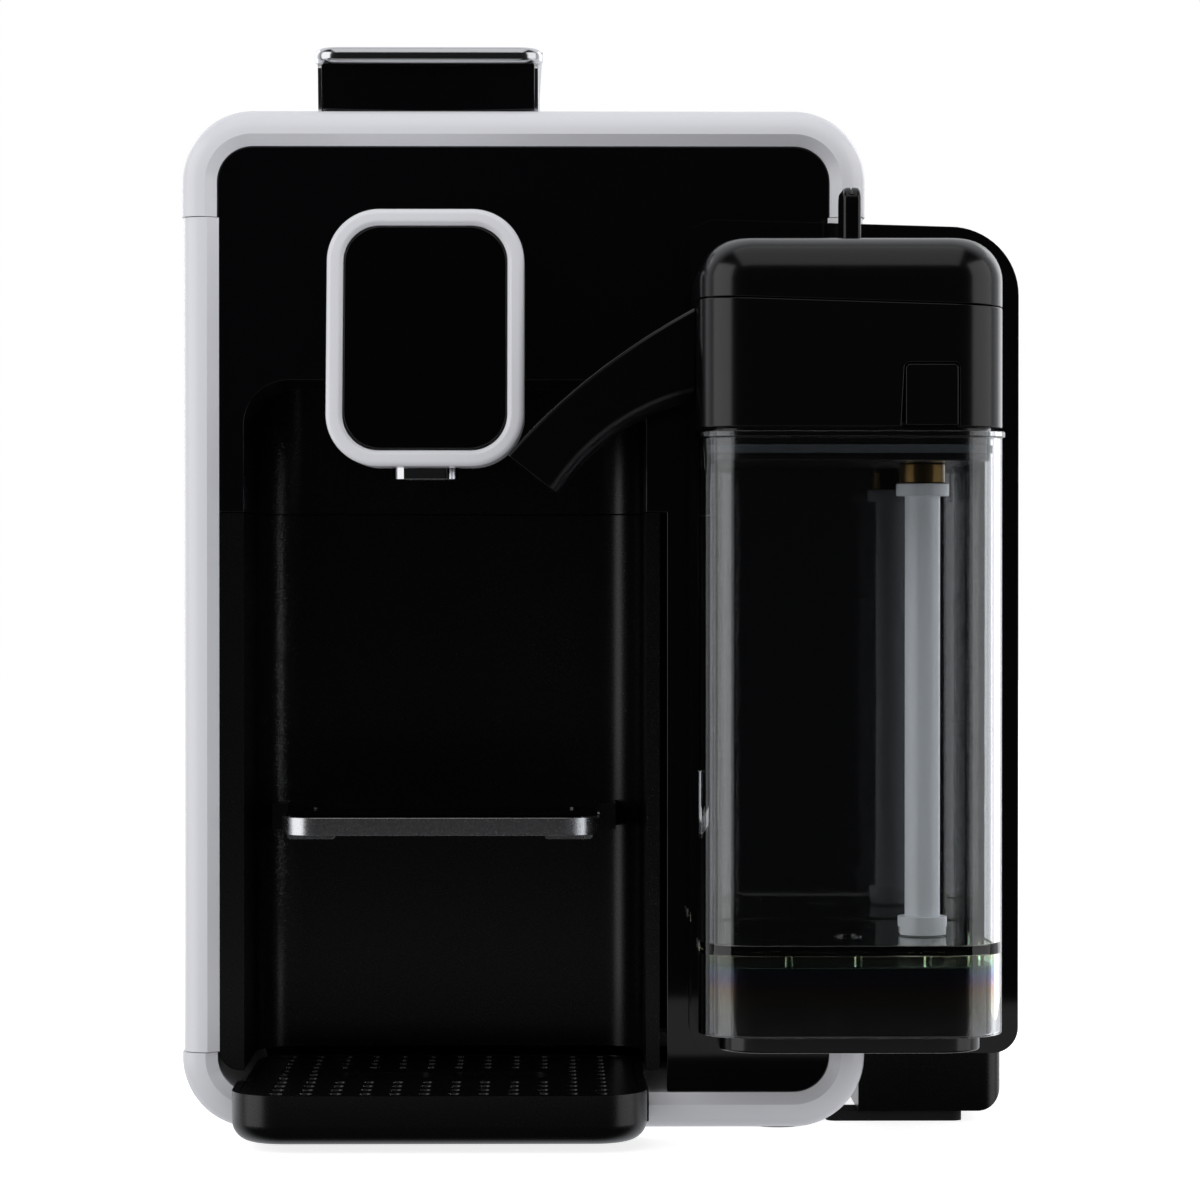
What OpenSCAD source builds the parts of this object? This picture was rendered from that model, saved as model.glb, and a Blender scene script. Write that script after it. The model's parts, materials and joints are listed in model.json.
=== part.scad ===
// Pod coffee machine with a clip-on milk frothing unit.
// The origin is the centre of the footprint, on the table. +X is right, +Y is back, +Z is up.

/* [Main body] */
// Width over the white frame
body_w = 205.5; // [203:0.5:208]
// Height of the white frame
body_h = 306; // [304:1:312]
// Depth from the frame to the rear cover
body_d = 180; // [178:1:184]
// Corner radius of the frame
body_r = 21.5; // [18:0.5:24]
// Width of the frame around the front panel
frame_w = 10.7; // [9:0.1:12]
// Corner radius of the front panel
panel_r = 10.8; // [8:0.1:13]
// Wall of the outer shells
wall = 3; // [2.5:0.5:3]
// Height of the rubber feet
foot_h = 2.5; // [2:0.5:3]

/* [Overall] */
// Width over the frame and the milk dock
total_w = 250.8; // [249:0.1:253]
// Depth from the milk jug to the water tank
total_d = 340; // [338:1:344]

/* [Cup niche] */
// Width of the niche at its mouth
niche_w = 120.9; // [118:0.1:122]
// Depth of the niche
niche_d = 64; // [60:1:64]
// Height of the niche's ceiling
niche_top = 227.5; // [225:0.5:229]
// Radius of the niche's concave rear corners
niche_r = 14; // [12:1:30]
// Top of the drawer below the seam
drawer_top = 187.6; // [180:0.1:190]

/* [Brew head] */
// Width of the white ring
ring_w = 58.4; // [56:0.1:60]
// Height of the ring's lower edge
ring_bottom = 201; // [199:0.5:203]
// Height of the ring
ring_h = 76.6; // [74:0.1:78]
// Wall of the ring
ring_wall = 5; // [4:0.1:5.5]
// How far the ring's lower edge stands forward
ring_reach = 26; // [24:1:28]
// How far the ring's upper edge stands forward
ring_reach_top = 14; // [12:1:16]

/* [Lever] */
// Width of the lever
lever_w = 69.2; // [66:0.1:72]
// Height of the lever's lip above the table
lever_top = 328.4; // [326:0.1:330]
// Radius of the crank below the lever
crank_r = 24; // [23:0.5:24]
// Angle that the lever opens
lever_open = 75; // [60:1:75]

/* [Drip tray and shelf] */
// Width of the drip tray's front
tray_w = 122.5; // [121:0.1:124]
// Height of the drip tray
tray_top = 17.3; // [16:0.1:18]
// How far the tray stands in front of the frame
tray_reach = 36; // [30:1:40]
// Width of the cup shelf
shelf_w = 95; // [90:1:96]
// Height of the cup shelf's top
shelf_top = 96.4; // [80:0.1:110]
// Thickness of the cup shelf
shelf_t = 5.4; // [5:0.1:6]

/* [Milk unit] */
// Width of the milk jug
jug_w = 85; // [83:0.5:86]
// Depth of the milk jug
jug_d = 91; // [89:1:91]
// Corner radius of the jug
jug_r = 16; // [14:0.5:18]
// Height of the jug's rim above the table
jug_top = 209.3; // [207:0.1:210]
// Height of the jug's lower edge above the table
jug_bottom = 41.2; // [38:0.1:44]
// Wall of the jug
jug_wall = 2.5; // [2:0.1:3]
// Top of the milk head
head_top = 263.2; // [262:0.1:264]

/* [Hidden] */
$fn = 48;

// Gap left between pieces that do not touch
gap = 0.3;
// Small overlap that joins solids within one piece
lap = 0.5;

// Planes of the machine
jug_reach = 98;
rim_out = 0.8;
x_left = -total_w / 2;
x_right = total_w / 2;
y_front = -total_d / 2 + jug_reach;
y_back = y_front + body_d;
z_top = foot_h + body_h;
body_x1 = x_left + body_w;
body_x = (x_left + body_x1) / 2;
seam_top = 276.4;
seam_low = 25.6;
rim_d = 12;
panel_in = 3;
panel_t = 2.5;

// Niche, drawer and tray
niche_x = x_left + frame_w + 8 + niche_w / 2;
niche_x0 = niche_x - niche_w / 2;
niche_x1 = niche_x + niche_w / 2;
niche_corner = 13.5;
drawer_x0 = x_left + frame_w + 0.7;
drawer_x1 = drawer_x0 + 132.3;
tray_x = niche_x - 1;
sill_z = 4.6;
bin_top = 140;
shelf_x = niche_x - 1.6;
shelf_axis_y = 50;
shelf_axis_z = shelf_top - shelf_t / 2;
shelf_front = -5;
shelf_corner = 11;
tray_corner = 16;
trim_t = 3;

// Brew head and lever
head_x = -51.5;
ring_top = ring_bottom + ring_h;
ring_r = 15.5;
ring_back = 2.8;
ring_tilt = atan((ring_reach - ring_reach_top) / ring_h);
spout_y = -7;
lever_y = 128;
lever_z = 315.5;
lever_eye = 6.3;
lever_base = z_top + 0.7;
crank_turn = lever_open / 2;
crank_y = lever_y + crank_r * sin(crank_turn);
crank_z = lever_z - crank_r * cos(crank_turn);
chamber_z = 262;

// Milk unit
dock_x0 = 27.1;
dock_z0 = 25.9;
dock_z1 = 275.1;
dock_fall = 2;
dock_corner = 20.6;
housing_top = 272;
dock_front = -5;
housing_x0 = body_x1 + gap;
housing_x1 = x_right - 0.7;
jug_x0 = 27;
jug_x1 = jug_x0 + jug_w;
jug_y0 = -jug_reach + rim_out;
jug_y1 = jug_y0 + jug_d;
jug_floor = 66.5;
cap_z = 245.3;
steam_x = 98;
steam_z = 230;
peg_x = 45;
knob_x = 71.5;
knob_y = -50;
tube_x = 91.6;
tube_y = -60;
arm_y = -50;
arm_z = 231;
arm_t = 20;
latch_x = jug_x1 - 21;
latch_z = 219;
latch_half = 7.3;

// Water tank
tank_w = 130;
tank_z0 = 18;
tank_z1 = 262;
tank_x0 = body_x - tank_w / 2;
tank_x1 = body_x + tank_w / 2;
tank_y0 = y_back + 2;
tank_y1 = total_d / 2;
valve_y = (tank_y0 + tank_y1) / 2;
lid_y = tank_y1 - 5;
lid_z = tank_z1 + 5;

// Water and steam ways
supply_z = 14;
pump_x = 48;
pump_z = 48;
heater_z = 110;
heater_x0 = 24;
heater_out_x = 36;
valve_x = 36;
boiler_x = steam_x;
hose_r = 3;

// Back: mains inlet, switch and screws
inlet_x = 60;
switch_pivot_y = y_back - 1;
switch_pivot_z = 76;
screw_x = [x_left + 30, body_x1 - 30];
screw_z = [foot_h + 15, z_top - 14];

// ---- helpers ----

// Depth behind the frame's front plane
function d(y) = y_front + y;

// A block between two opposite corners
module block(lo, hi) translate(lo) cube(hi - lo);

// Extrude a front view (x, z) from y0 back to y1
module slab_y(y0, y1) translate([0, y1, 0]) rotate([90, 0, 0]) linear_extrude(y1 - y0) children();

// Extrude a side view (y, z) from x0 to x1
module slab_x(x0, x1) translate([x0, 0, 0]) rotate([90, 0, 90]) linear_extrude(x1 - x0) children();

// Extrude a plan (x, y) from z0 up to z1
module slab_z(z0, z1) translate([0, 0, z0]) linear_extrude(z1 - z0) children();

// Rounded rectangle; r is one radius or four: lower left, lower right, upper right, upper left
module rounded(p, q, r) {
    c = is_list(r) ? r : [r, r, r, r];
    corners = [[p[0], p[1]], [q[0], p[1]], [q[0], q[1]], [p[0], q[1]]];
    inward = [[1, 1], [-1, 1], [-1, -1], [1, -1]];
    // each rounded corner gives the two ends of its arc, each sharp one a single point
    polygon([for (i = [0:3])
        let (a = corners[i], s = inward[i], across = [s[0] * c[i], 0], up = [0, s[1] * c[i]])
        for (step = c[i] == 0 ? [a] : (i % 2 == 0 ? [a + up, a + across] : [a + across, a + up])) step]);
    for (i = [0:3]) if (c[i] > 0)
        translate(corners[i] + [inward[i][0] * c[i], inward[i][1] * c[i]]) circle(c[i]);
}

// Round bar along X, Y or Z
module bar_x(x0, x1, y, z, r) translate([x0, y, z]) rotate([0, 90, 0]) cylinder(r = r, h = x1 - x0);
module bar_y(x, y0, y1, z, r) translate([x, y1, z]) rotate([90, 0, 0]) cylinder(r = r, h = y1 - y0);
module bar_z(x, y, z0, z1, r) translate([x, y, z0]) cylinder(r = r, h = z1 - z0);

// A pair of like shapes, mirrored about the plane x = x0
module pair(x0) translate([x0, 0, 0]) {
    children();
    mirror([1, 0, 0]) children();
}
module head_pair() pair(head_x) children();

// ---- outlines ----

module frame_outline() rounded([x_left, foot_h], [body_x1, z_top], body_r);

module frame_inset(t, r) rounded([x_left + t, foot_h + t], [body_x1 - t, z_top - t], r);

module panel_opening() frame_inset(frame_w, panel_r);

module niche_plan(t) rounded([niche_x0 + t, d(-10)], [niche_x1 - t, d(niche_d - t)],
    [0, 0, niche_r - t, niche_r - t]);

module niche_arch() rounded([niche_x0, 100], [niche_x1, niche_top], [0, 0, niche_corner, niche_corner]);

module ring_outline(t) rounded([head_x - ring_w / 2 + t, ring_bottom + t],
    [head_x + ring_w / 2 - t, ring_top - t], ring_r - 0.85 * t);

module jug_plan(t) rounded([jug_x0 + t, d(jug_y0 + t)], [jug_x1 - t, d(jug_y1 - t)], jug_r - t);

module tank_plan(t) rounded([tank_x0 + t, tank_y0 + t], [tank_x1 - t, tank_y1 - t],
    [6 - t, 6 - t, 18 - t, 18 - t]);

// White shell: a thick front rim and a thin skin behind it
module frame_shell() {
    slab_y(y_front, d(rim_d)) difference() {
        frame_outline();
        panel_opening();
    }
    slab_y(d(rim_d), y_back) difference() {
        frame_outline();
        frame_inset(wall, body_r - wall);
    }
}

// Space in front of the ring's leaning face, moved back by t
module ahead_of_face(t) translate([head_x, d(-ring_reach + t), ring_bottom])
    rotate([-ring_tilt, 0, 0]) block([-60, -60, -40], [60, 0, 140]);

// ---- casing ----

module base_plate() color("#202124") difference() {
    union() {
        slab_y(d(rim_d + gap), y_back - wall - gap) intersection() {
            frame_inset(wall + gap, body_r - wall - gap);
            translate([x_left, 0]) square([body_w, foot_h + 6]);
        }
        // ledge under the water tank
        slab_z(foot_h, tank_z0 - gap) intersection() {
            tank_plan(3);
            translate([tank_x0, y_back + gap]) square([tank_w, 100]);
        }
        block([tank_x0 + 4, y_back - wall - gap - lap, foot_h], [tank_x1 - 4, tank_y0 + 8, foot_h + 6]);
        // bosses for the rear cover's lower screws
        for (x = screw_x)
            block([x - 5, y_back - 16, foot_h + 5], [x + 5, y_back - wall - gap, foot_h + 22]);
    }
    // room for the drip tray, which slides in over a thin floor
    block([tray_x - tray_w / 2 - 1, d(rim_d), sill_z],
        [tray_x + tray_w / 2 + 1, d(niche_d + 1), foot_h + 7]);
    // socket that the tank's valve stands in
    bar_z(body_x, valve_y, foot_h + 4, tank_z0 + 1, 9);
    bar_y(body_x, y_back - 1, valve_y, supply_z, 3.05);
    for (x = screw_x) bar_y(x, y_back - 14, y_back, screw_z[0], 1.6);
}

module rubber_feet() color("#2b2b2b") {
    for (x = [x_left + 25, body_x1 - 25], y = [d(30), y_back - 18])
        bar_z(x, y, 0, foot_h, 9);
    for (x = [body_x - 40, body_x + 40]) bar_z(x, tank_y1 - 16, 0, foot_h, 7);
    // long feet under the side housing
    slab_z(0, foot_h + 0.5) rounded([body_x1 - 9.4, d(35)], [housing_x1 - 12, d(50)], 3);
    slab_z(0, foot_h + 0.5) rounded([housing_x0 + 3, d(125)], [housing_x1 - 12, d(140)], 3);
}

module bottom_band() color("whitesmoke") difference() {
    frame_shell();
    block([x_left - 1, y_front - 1, seam_low], [body_x1 + 1, y_back + 1, z_top + 1]);
    // thin sill that the drip tray passes over
    block([tray_x - tray_w / 2 - 1, y_front - 1, sill_z],
        [tray_x + tray_w / 2 + 1, d(niche_d + 1), seam_low + 1]);
    // open underneath for the base plate
    block([x_left + body_r, d(rim_d), 0], [body_x1 - body_r, y_back + 1, foot_h + wall + 1]);
}

// One white side; s is -1 on the left and 1 on the right
module side_panel(s) {
    skin = 0.6;
    outer = s < 0 ? x_left + skin : body_x1 - skin;
    inner = outer - s * (wall - skin);
    lip = s < 0 ? x_left + frame_w : body_x1 - frame_w;
    z0 = seam_low + 0.2;
    z1 = seam_top - 0.2;
    vent_count = 6;
    difference() {
        union() {
            block([min(outer, inner), y_front + skin, z0], [max(outer, inner), y_back, z1]);
            block([min(outer, lip), y_front + skin, z0], [max(outer, lip), d(rim_d), z1]);
        }
        for (i = [0:vent_count - 1])
            block([min(outer, inner) - 1, y_back - 20 - 7 * i, z1 - 60],
                [max(outer, inner) + 1, y_back - 17 - 7 * i, z1 - 20]);
    }
}

module left_side_panel() color("white") side_panel(-1);

module right_side_panel() color("white") difference() {
    side_panel(1);
    // way through for the hose to the steam boiler
    bar_x(body_x1 - 5, body_x1 + 1, d(80), heater_z + 23, 5);
}

module top_cover() color("whitesmoke") {
    difference() {
        frame_shell();
        block([x_left - 1, y_front - 1, 0], [body_x1 + 1, y_back + 1, seam_top]);
        // opening for the lever's bracket
        block([head_x - 31, d(80 - gap), z_top - 10], [head_x + 31, d(152 + gap), z_top + 1]);
    }
    // bosses for the rear cover's upper screws
    for (x = [x_left + 30, body_x1 - 30]) difference() {
        block([x - 5, y_back - 16, z_top - 20], [x + 5, y_back - wall - gap, z_top - wall + lap]);
        bar_y(x, y_back - 14, y_back, z_top - 14, 1.6);
    }
}

module rear_cover() color("#1c1d20") {
    rear_plate();
    // pivots of the power switch
    pair(inlet_x) bar_x(4.6, 7.5, switch_pivot_y, switch_pivot_z, 0.85);
}

module rear_plate() difference() {
    slab_y(y_back - wall, y_back) difference() {
        frame_inset(wall + gap, body_r - wall - gap);
        translate([x_left, 0]) square([body_w, foot_h + 6 + gap]);
    }
    // supply hose, mains inlet and power switch
    bar_y(body_x, y_back - 5, y_back + 1, supply_z, 3.6);
    block([inlet_x - 14, y_back - 5, 30], [inlet_x + 14, y_back + 1, 51]);
    block([inlet_x - 7, y_back - 5, 66], [inlet_x + 7, y_back + 1, 86]);
    // air slots
    for (i = [0:7]) block([x_left + 12, y_back - 5, 148 + 9 * i], [x_left + 30, y_back + 1, 152 + 9 * i]);
    for (x = screw_x, z = screw_z)
        bar_y(x, y_back - 5, y_back + 1, z, 1.7);
}

module front_panel() color("#0b0b0d") slab_y(d(panel_in), d(panel_in + panel_t)) difference() {
    frame_inset(frame_w + 0.2, panel_r - 0.2);
    // room for the drawer, below the seam
    translate([x_left, 0]) square([drawer_x1 + 2.2 - x_left, drawer_top + 0.2]);
    niche_arch();
    // cable window behind the brew head
    rounded([head_x - 12, 240], [head_x + 12, 262], 3);
}

module niche_upper() color("#141416") difference() {
    block([niche_x0 - 5, d(panel_in + panel_t + 0.1), drawer_top + 0.4],
        [niche_x1 + 5, d(niche_d + 3), niche_top + 3]);
    intersection() {
        slab_y(d(-5), d(niche_d + 1)) niche_arch();
        slab_z(100, niche_top + 1) niche_plan(0);
    }
    // coffee hose
    bar_z(head_x, d(16), niche_top - 1, niche_top + 4, 4);
}

// ---- brew head ----

module head_ring() color("white") difference() {
    slab_y(d(-ring_reach - 1), d(ring_back)) difference() {
        ring_outline(0);
        ring_outline(ring_wall);
    }
    ahead_of_face(0);
    // mouth for the spout
    spout_shape(ring_bottom - 1, ring_bottom + ring_wall + 1, gap);
}

module head_shell() color("#101012") difference() {
    union() {
        slab_y(d(-6), d(ring_back)) ring_outline(ring_wall + gap);
        // block that carries the spout, and the housing behind it in the niche
        block([head_x - 12.8, d(-14), ring_bottom + ring_wall + gap], [head_x + 12.8, d(-6 + lap), 222]);
        block([head_x - 17, d(ring_back - lap), ring_bottom + ring_wall + 1],
            [head_x + 17, d(30), niche_top - 0.2]);
        block([head_x - 17, d(ring_back + gap), ring_bottom + 3],
            [head_x + 17, d(30), ring_bottom + ring_wall + 2]);
    }
    // pocket for the display board
    block([head_x - 20, d(-7), 226], [head_x + 20, d(0), 266]);
    // coffee way: down, forward and down to the spout
    bar_z(head_x, d(16), 215, niche_top + 1, 3);
    bar_y(head_x, d(spout_y), d(16), 215, 3);
    bar_z(head_x, d(spout_y), ring_bottom, 215, 3);
    // cable way
    block([head_x - 8, d(-1), 244], [head_x + 8, d(ring_back + 1), 256]);
}

module display_glass() color("#050506") intersection() {
    slab_y(d(-ring_reach - 1), d(0)) ring_outline(ring_wall + 0.15);
    difference() {
        ahead_of_face(2.3);
        ahead_of_face(0.5);
    }
}

module display_board() color("darkgreen") {
    block([head_x - 19, d(-4), 227], [head_x + 19, d(-2.4), 265]);
    block([head_x - 7, d(-5.4), 240], [head_x + 7, d(-4 + 0.1), 252]);
}

// Stadium plan of the spout, grown by t
module spout_shape(z0, z1, t) slab_z(z0, z1) translate([head_x, d(spout_y)]) {
    for (s = [-1, 1]) translate([s * 4.2, 0]) circle(6 + t);
    square([8.4, 12 + 2 * t], center = true);
}

module coffee_spout() color("silver") difference() {
    spout_shape(ring_bottom - 3.7, ring_bottom + ring_wall + 0.2, 0);
    bar_z(head_x, d(spout_y), ring_bottom - 5, ring_bottom + ring_wall + 2, 3);
    bar_z(head_x, d(spout_y), ring_bottom - 5, ring_bottom - 1, 4.6);
}

// ---- lever and brewing unit ----

module lever_bracket() color("#1a1a1c") difference() {
    union() {
        block([head_x - 30.7, d(80), z_top - 12.5], [head_x + 30.7, d(152), z_top - 0.2]);
        head_pair() slab_x(26, 30) {
            translate([d(lever_y - 6), z_top - 1]) square([12, lever_z - z_top + 1]);
            translate([d(lever_y), lever_z]) circle(6);
        }
    }
    // pod slot in front, room for the crank and its fork behind
    block([head_x - 21.5, d(84), z_top - 14], [head_x + 21.5, d(149), z_top + 1]);
    block([head_x - 25.2, d(98), z_top - 14], [head_x + 25.2, d(151), z_top + 1]);
    bar_x(head_x - 40, head_x + 40, d(lever_y), lever_z, 3.02);
}

// Side outline of the lever, rounded about its pin
module lever_side() {
    steps = 16;
    polygon(concat([[d(10), lever_base], [d(8), lever_base + 12], [d(8), lever_top - 3],
        [d(9), lever_top - 0.8], [d(12), lever_top]],
        [for (i = [0:steps]) let (a = 90 - 180 * i / steps)
            [d(lever_y) + lever_eye * cos(a), lever_z + lever_eye * sin(a)]]));
}

module lever_frame() color("silver") difference() {
    translate([head_x, 0, 0]) slab_x(-lever_w / 2, lever_w / 2) lever_side();
    // hollow underneath, open to the front below the lip
    translate([head_x, 0, 0]) slab_x(-lever_w / 2 + 2.5, lever_w / 2 - 2.5)
        polygon([[d(0), lever_base - 2], [d(0), lever_top - 5.4], [d(12), lever_top - 3.2],
            [d(117), lever_z + lever_eye - 2.2], [d(117), lever_base - 2]]);
    // slots for the bracket's ears, and room for the crank
    head_pair() block([25.4, d(116), lever_base - 2], [30.6, d(lever_y + 8), lever_z + lever_eye + 1]);
    block([head_x - 18, d(116), lever_base - 2], [head_x + 18, d(lever_y + 8), lever_z + lever_eye - 2]);
    bar_x(head_x - lever_w / 2 - 1, head_x + lever_w / 2 + 1, d(lever_y), lever_z, 3.06);
}

module lever_insert() color("#0e0e10") translate([head_x, 0, 0])
    slab_x(-lever_w / 2 + 2.7, lever_w / 2 - 2.7) {
        polygon([[d(11), lever_base + 0.3], [d(9.4), lever_base + 12], [d(9.4), lever_top - 5.8],
            [d(13), lever_top - 5.4], [d(13), lever_base + 2.6], [d(112), lever_base + 2.6],
            [d(112), lever_base + 0.3]]);
    }

module lever_crank() color("slategray") {
    difference() {
        head_pair() slab_x(12, 16) translate([d(lever_y), lever_z]) rotate(crank_turn) {
            circle(4.1);
            translate([-3.5, -crank_r]) square([7, crank_r]);
            translate([0, -crank_r]) circle(4.6);
        }
        bar_x(head_x - 20, head_x + 20, d(lever_y), lever_z, 3.06);
    }
    bar_x(head_x - 24, head_x + 24, d(crank_y), crank_z, 2.8);
}

module lever_pin() color("lightsteelblue")
    bar_x(head_x - lever_w / 2 + 0.6, head_x + lever_w / 2 - 0.6, d(lever_y), lever_z, 3);

module brew_frame() color("dimgray") difference() {
    block([head_x - 28, d(50), 236], [head_x + 28, d(152), z_top - 12.5]);
    block([head_x - 25, d(53), 239], [head_x + 25, d(153), z_top]);
    bar_y(head_x, d(49), d(54), 246, 2);
    // drop hole for used pods
    block([head_x - 20, d(67), 235], [head_x + 20, d(111), 240]);
}

module injection_cage() color("#35363a") difference() {
    union() {
        bar_y(head_x, d(112), d(146), chamber_z, 21);
        block([head_x - 24.7, d(130), 239.1], [head_x + 24.7, d(146), chamber_z]);
    }
    bar_y(head_x, d(111), d(136), chamber_z, 15.5);
    bar_y(head_x, d(130), d(147), chamber_z, 2);
}

module brew_carriage() color("#4a4b50") {
    block([head_x - 24.7, d(88), 241], [head_x + 24.7, d(96), 292]);
    head_pair() {
        // drawbars past the cage, ending in a fork round the crank's pin
        block([21.5, d(95), 268], [24.7, d(150), 280]);
        difference() {
            block([17.5, d(crank_y - 8), 284.4], [24.7, d(150), 300]);
            block([17, d(crank_y - 3.3), 287], [25.2, d(crank_y + 3.3), 301]);
        }
        block([21.5, d(135), 279], [24.7, d(150), 285]);
    }
}

// ---- drawer, drip tray and shelf ----

module pod_drawer() color("#121214") difference() {
    union() {
        // front posts and concave niche wall in one moulding
        intersection() {
            slab_z(20, drawer_top) difference() {
                translate([drawer_x0, d(panel_in)]) square([drawer_x1 - drawer_x0, niche_d]);
                niche_plan(0);
            }
            slab_y(d(0), d(niche_d + 10)) rounded([drawer_x0, 20], [drawer_x1, drawer_top], [6, 0, 0, 0]);
        }
        // carrier for the bin
        block([drawer_x0 + 2, d(niche_d), 20], [drawer_x1 - 2, d(142), 22.4]);
        for (x = [drawer_x0 + 2, drawer_x1 - 4.4]) block([x, d(niche_d), 20], [x + 2.4, d(142), 44]);
        // lugs for the shelf's pin
        for (x = [shelf_x - shelf_w / 2 - 6, shelf_x + shelf_w / 2 + 1])
            block([x, d(shelf_axis_y - 4), shelf_axis_z - 4], [x + 5, d(niche_d + 1), shelf_axis_z + 4]);
    }
    bar_x(drawer_x0 + 5, drawer_x1 - 5, d(shelf_axis_y), shelf_axis_z, 1.53);
}

module pod_bin() color("#3a3a40") difference() {
    slab_z(22.7, bin_top) rounded([drawer_x0 + 5, d(69)], [drawer_x1 - 5, d(140)], 8);
    slab_z(25, bin_top + 1) rounded([drawer_x0 + 7.2, d(71.2)], [drawer_x1 - 7.2, d(137.8)], 5.8);
}

// Plan of the drip tray inset by t: wide in front, following the niche behind
module tray_plan(t) {
    rounded([tray_x - tray_w / 2 + t, d(-tray_reach + t)], [tray_x + tray_w / 2 - t, d(-1 - t)],
        [tray_corner - t, tray_corner - t, 0, 0]);
    intersection() {
        niche_plan(0.6 + t);
        translate([x_left, d(-6)]) square([body_w, niche_d + 6]);
    }
}

module drip_tray() color("#1b1b1d") difference() {
    union() {
        slab_z(foot_h, tray_top) rounded([tray_x - tray_w / 2, d(-tray_reach)],
            [tray_x + tray_w / 2, d(-1)], [tray_corner, tray_corner, 0, 0]);
        // the floor steps in along its edges to clear the frame's rounded corner
        slab_z(sill_z + 0.6, sill_z + 2.5) tray_plan(3);
        slab_z(sill_z + 1.9, tray_top) tray_plan(0);
    }
    slab_z(sill_z + 3, tray_top + 1) tray_plan(2.4);
}

module drip_grid() color("#26262a") {
    columns = 12;
    rows = 11;
    pitch = 8.7;
    row0 = -tray_reach + 6.6;
    difference() {
        slab_z(tray_top - 2.4, tray_top - 0.2) tray_plan(2.7);
        for (i = [0:columns - 1], j = [0:rows - 1])
            if (!(i > 1 && i < columns - 2 && j > 3 && j < 7))
                bar_z(tray_x + (i - (columns - 1) / 2) * pitch, d(row0 + j * pitch),
                    tray_top - 3, tray_top + 1, 1.7);
        // two long slots in the middle
        for (s = [-1, 1]) slab_z(tray_top - 3, tray_top + 1)
            rounded([tray_x + s * 17.4 - 14.6, d(row0 + 4.2 * pitch)],
                [tray_x + s * 17.4 + 14.6, d(row0 + 5.8 * pitch)], 3);
    }
}

// Plan of the shelf inset by t
module shelf_plan(t) rounded([shelf_x - shelf_w / 2 + t, d(shelf_front + t)],
    [shelf_x + shelf_w / 2 - t, d(shelf_axis_y)], [shelf_corner - t, shelf_corner - t, 0, 0]);

module cup_shelf() color("#0f0f11") difference() {
    union() {
        slab_z(shelf_top - shelf_t, shelf_top) {
            shelf_plan(trim_t);
            translate([shelf_x - shelf_w / 2, d(shelf_front + shelf_corner)])
                square([shelf_w, shelf_axis_y - shelf_front - shelf_corner]);
        }
        bar_x(shelf_x - shelf_w / 2, shelf_x + shelf_w / 2, d(shelf_axis_y), shelf_axis_z, shelf_t / 2);
        // feet below the front edge
        intersection() {
            pair(shelf_x) block([shelf_w / 2 - 16, d(shelf_front + trim_t), shelf_top - shelf_t - 1.7],
                [shelf_w / 2 - 1.5, d(shelf_front + 9), shelf_top - shelf_t + lap]);
            slab_z(0, shelf_top) shelf_plan(trim_t);
        }
    }
    // two drain slots
    pair(shelf_x) slab_z(shelf_top - shelf_t - 1, shelf_top + 1)
        rounded([2.5, d(shelf_front + 7)], [31, d(shelf_front + 14)], 3);
    bar_x(shelf_x - shelf_w, shelf_x + shelf_w, d(shelf_axis_y), shelf_axis_z, 1.53);
}

module shelf_trim() color("gainsboro") slab_z(shelf_top - shelf_t, shelf_top) difference() {
    intersection() {
        shelf_plan(0);
        translate([x_left, d(shelf_front)]) square([body_w, shelf_corner]);
    }
    shelf_plan(trim_t - 0.2);
}

module shelf_pin() color("silver")
    bar_x(shelf_x - shelf_w / 2 - 5.5, shelf_x + shelf_w / 2 + 5.5, d(shelf_axis_y), shelf_axis_z, 1.5);

// ---- milk dock and milk unit ----

// Front outline of the dock; its top edge slopes down to the right
module dock_outline() {
    shoulder = 20;
    left_r = 8;
    rounded([dock_x0, dock_z0], [x_right, dock_z1 - dock_fall], [left_r, 7.6, dock_corner, 0]);
    rounded([dock_x0, dock_z1 - shoulder], [dock_x0 + left_r, dock_z1], [0, 0, 0, left_r]);
    polygon([[dock_x0 + left_r, dock_z1], [dock_x0 + left_r, dock_z1 - shoulder],
        [x_right - dock_corner, dock_z1 - shoulder], [x_right - dock_corner, dock_z1 - dock_fall]]);
}

module milk_dock() color("#0c0c0e") difference() {
    union() {
        slab_y(d(dock_front), d(-0.3)) dock_outline();
        slab_y(d(-0.3 - lap), d(7.7)) rounded([housing_x0 + 0.7, 34], [x_right - 2, 266], 6);
        // peg that guides the milk head
        bar_y(peg_x, d(-20), d(dock_front + lap), steam_z, 5);
    }
    bar_y(steam_x, d(dock_front - 1), d(9), steam_z, 5.03);
}

// Front outline of the side housing inset by t
module housing_front(t, r) slab_y(d(0), d(160))
    rounded([housing_x0 - t, foot_h + 0.8], [housing_x1 - t, housing_top - t], r);

module side_housing() color("#17171a") difference() {
    union() {
        intersection() {
            slab_z(dock_z0 + 0.3, housing_top)
                rounded([housing_x0, d(8)], [housing_x1, d(150)], [0, 10, 10, 0]);
            housing_front(0, [0, 0, dock_corner, 0]);
        }
        intersection() {
            slab_z(foot_h + 0.8, dock_z0 + 1)
                rounded([housing_x0, d(33)], [housing_x1, d(150)], [0, 6, 10, 0]);
            housing_front(0, [0, 7.5, dock_corner, 0]);
        }
    }
    // hollow, closed on its left by the body's own side
    intersection() {
        slab_z(dock_z0 + 3, housing_top)
            rounded([housing_x0 - 1, d(10.5)], [housing_x1 - 2.5, d(147.5)], [0, 7.5, 7.5, 0]);
        housing_front(2.5, [0, 0, dock_corner - 2.5, 0]);
    }
    bar_y(steam_x, d(7), d(11), steam_z, 5.3);
}

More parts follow.
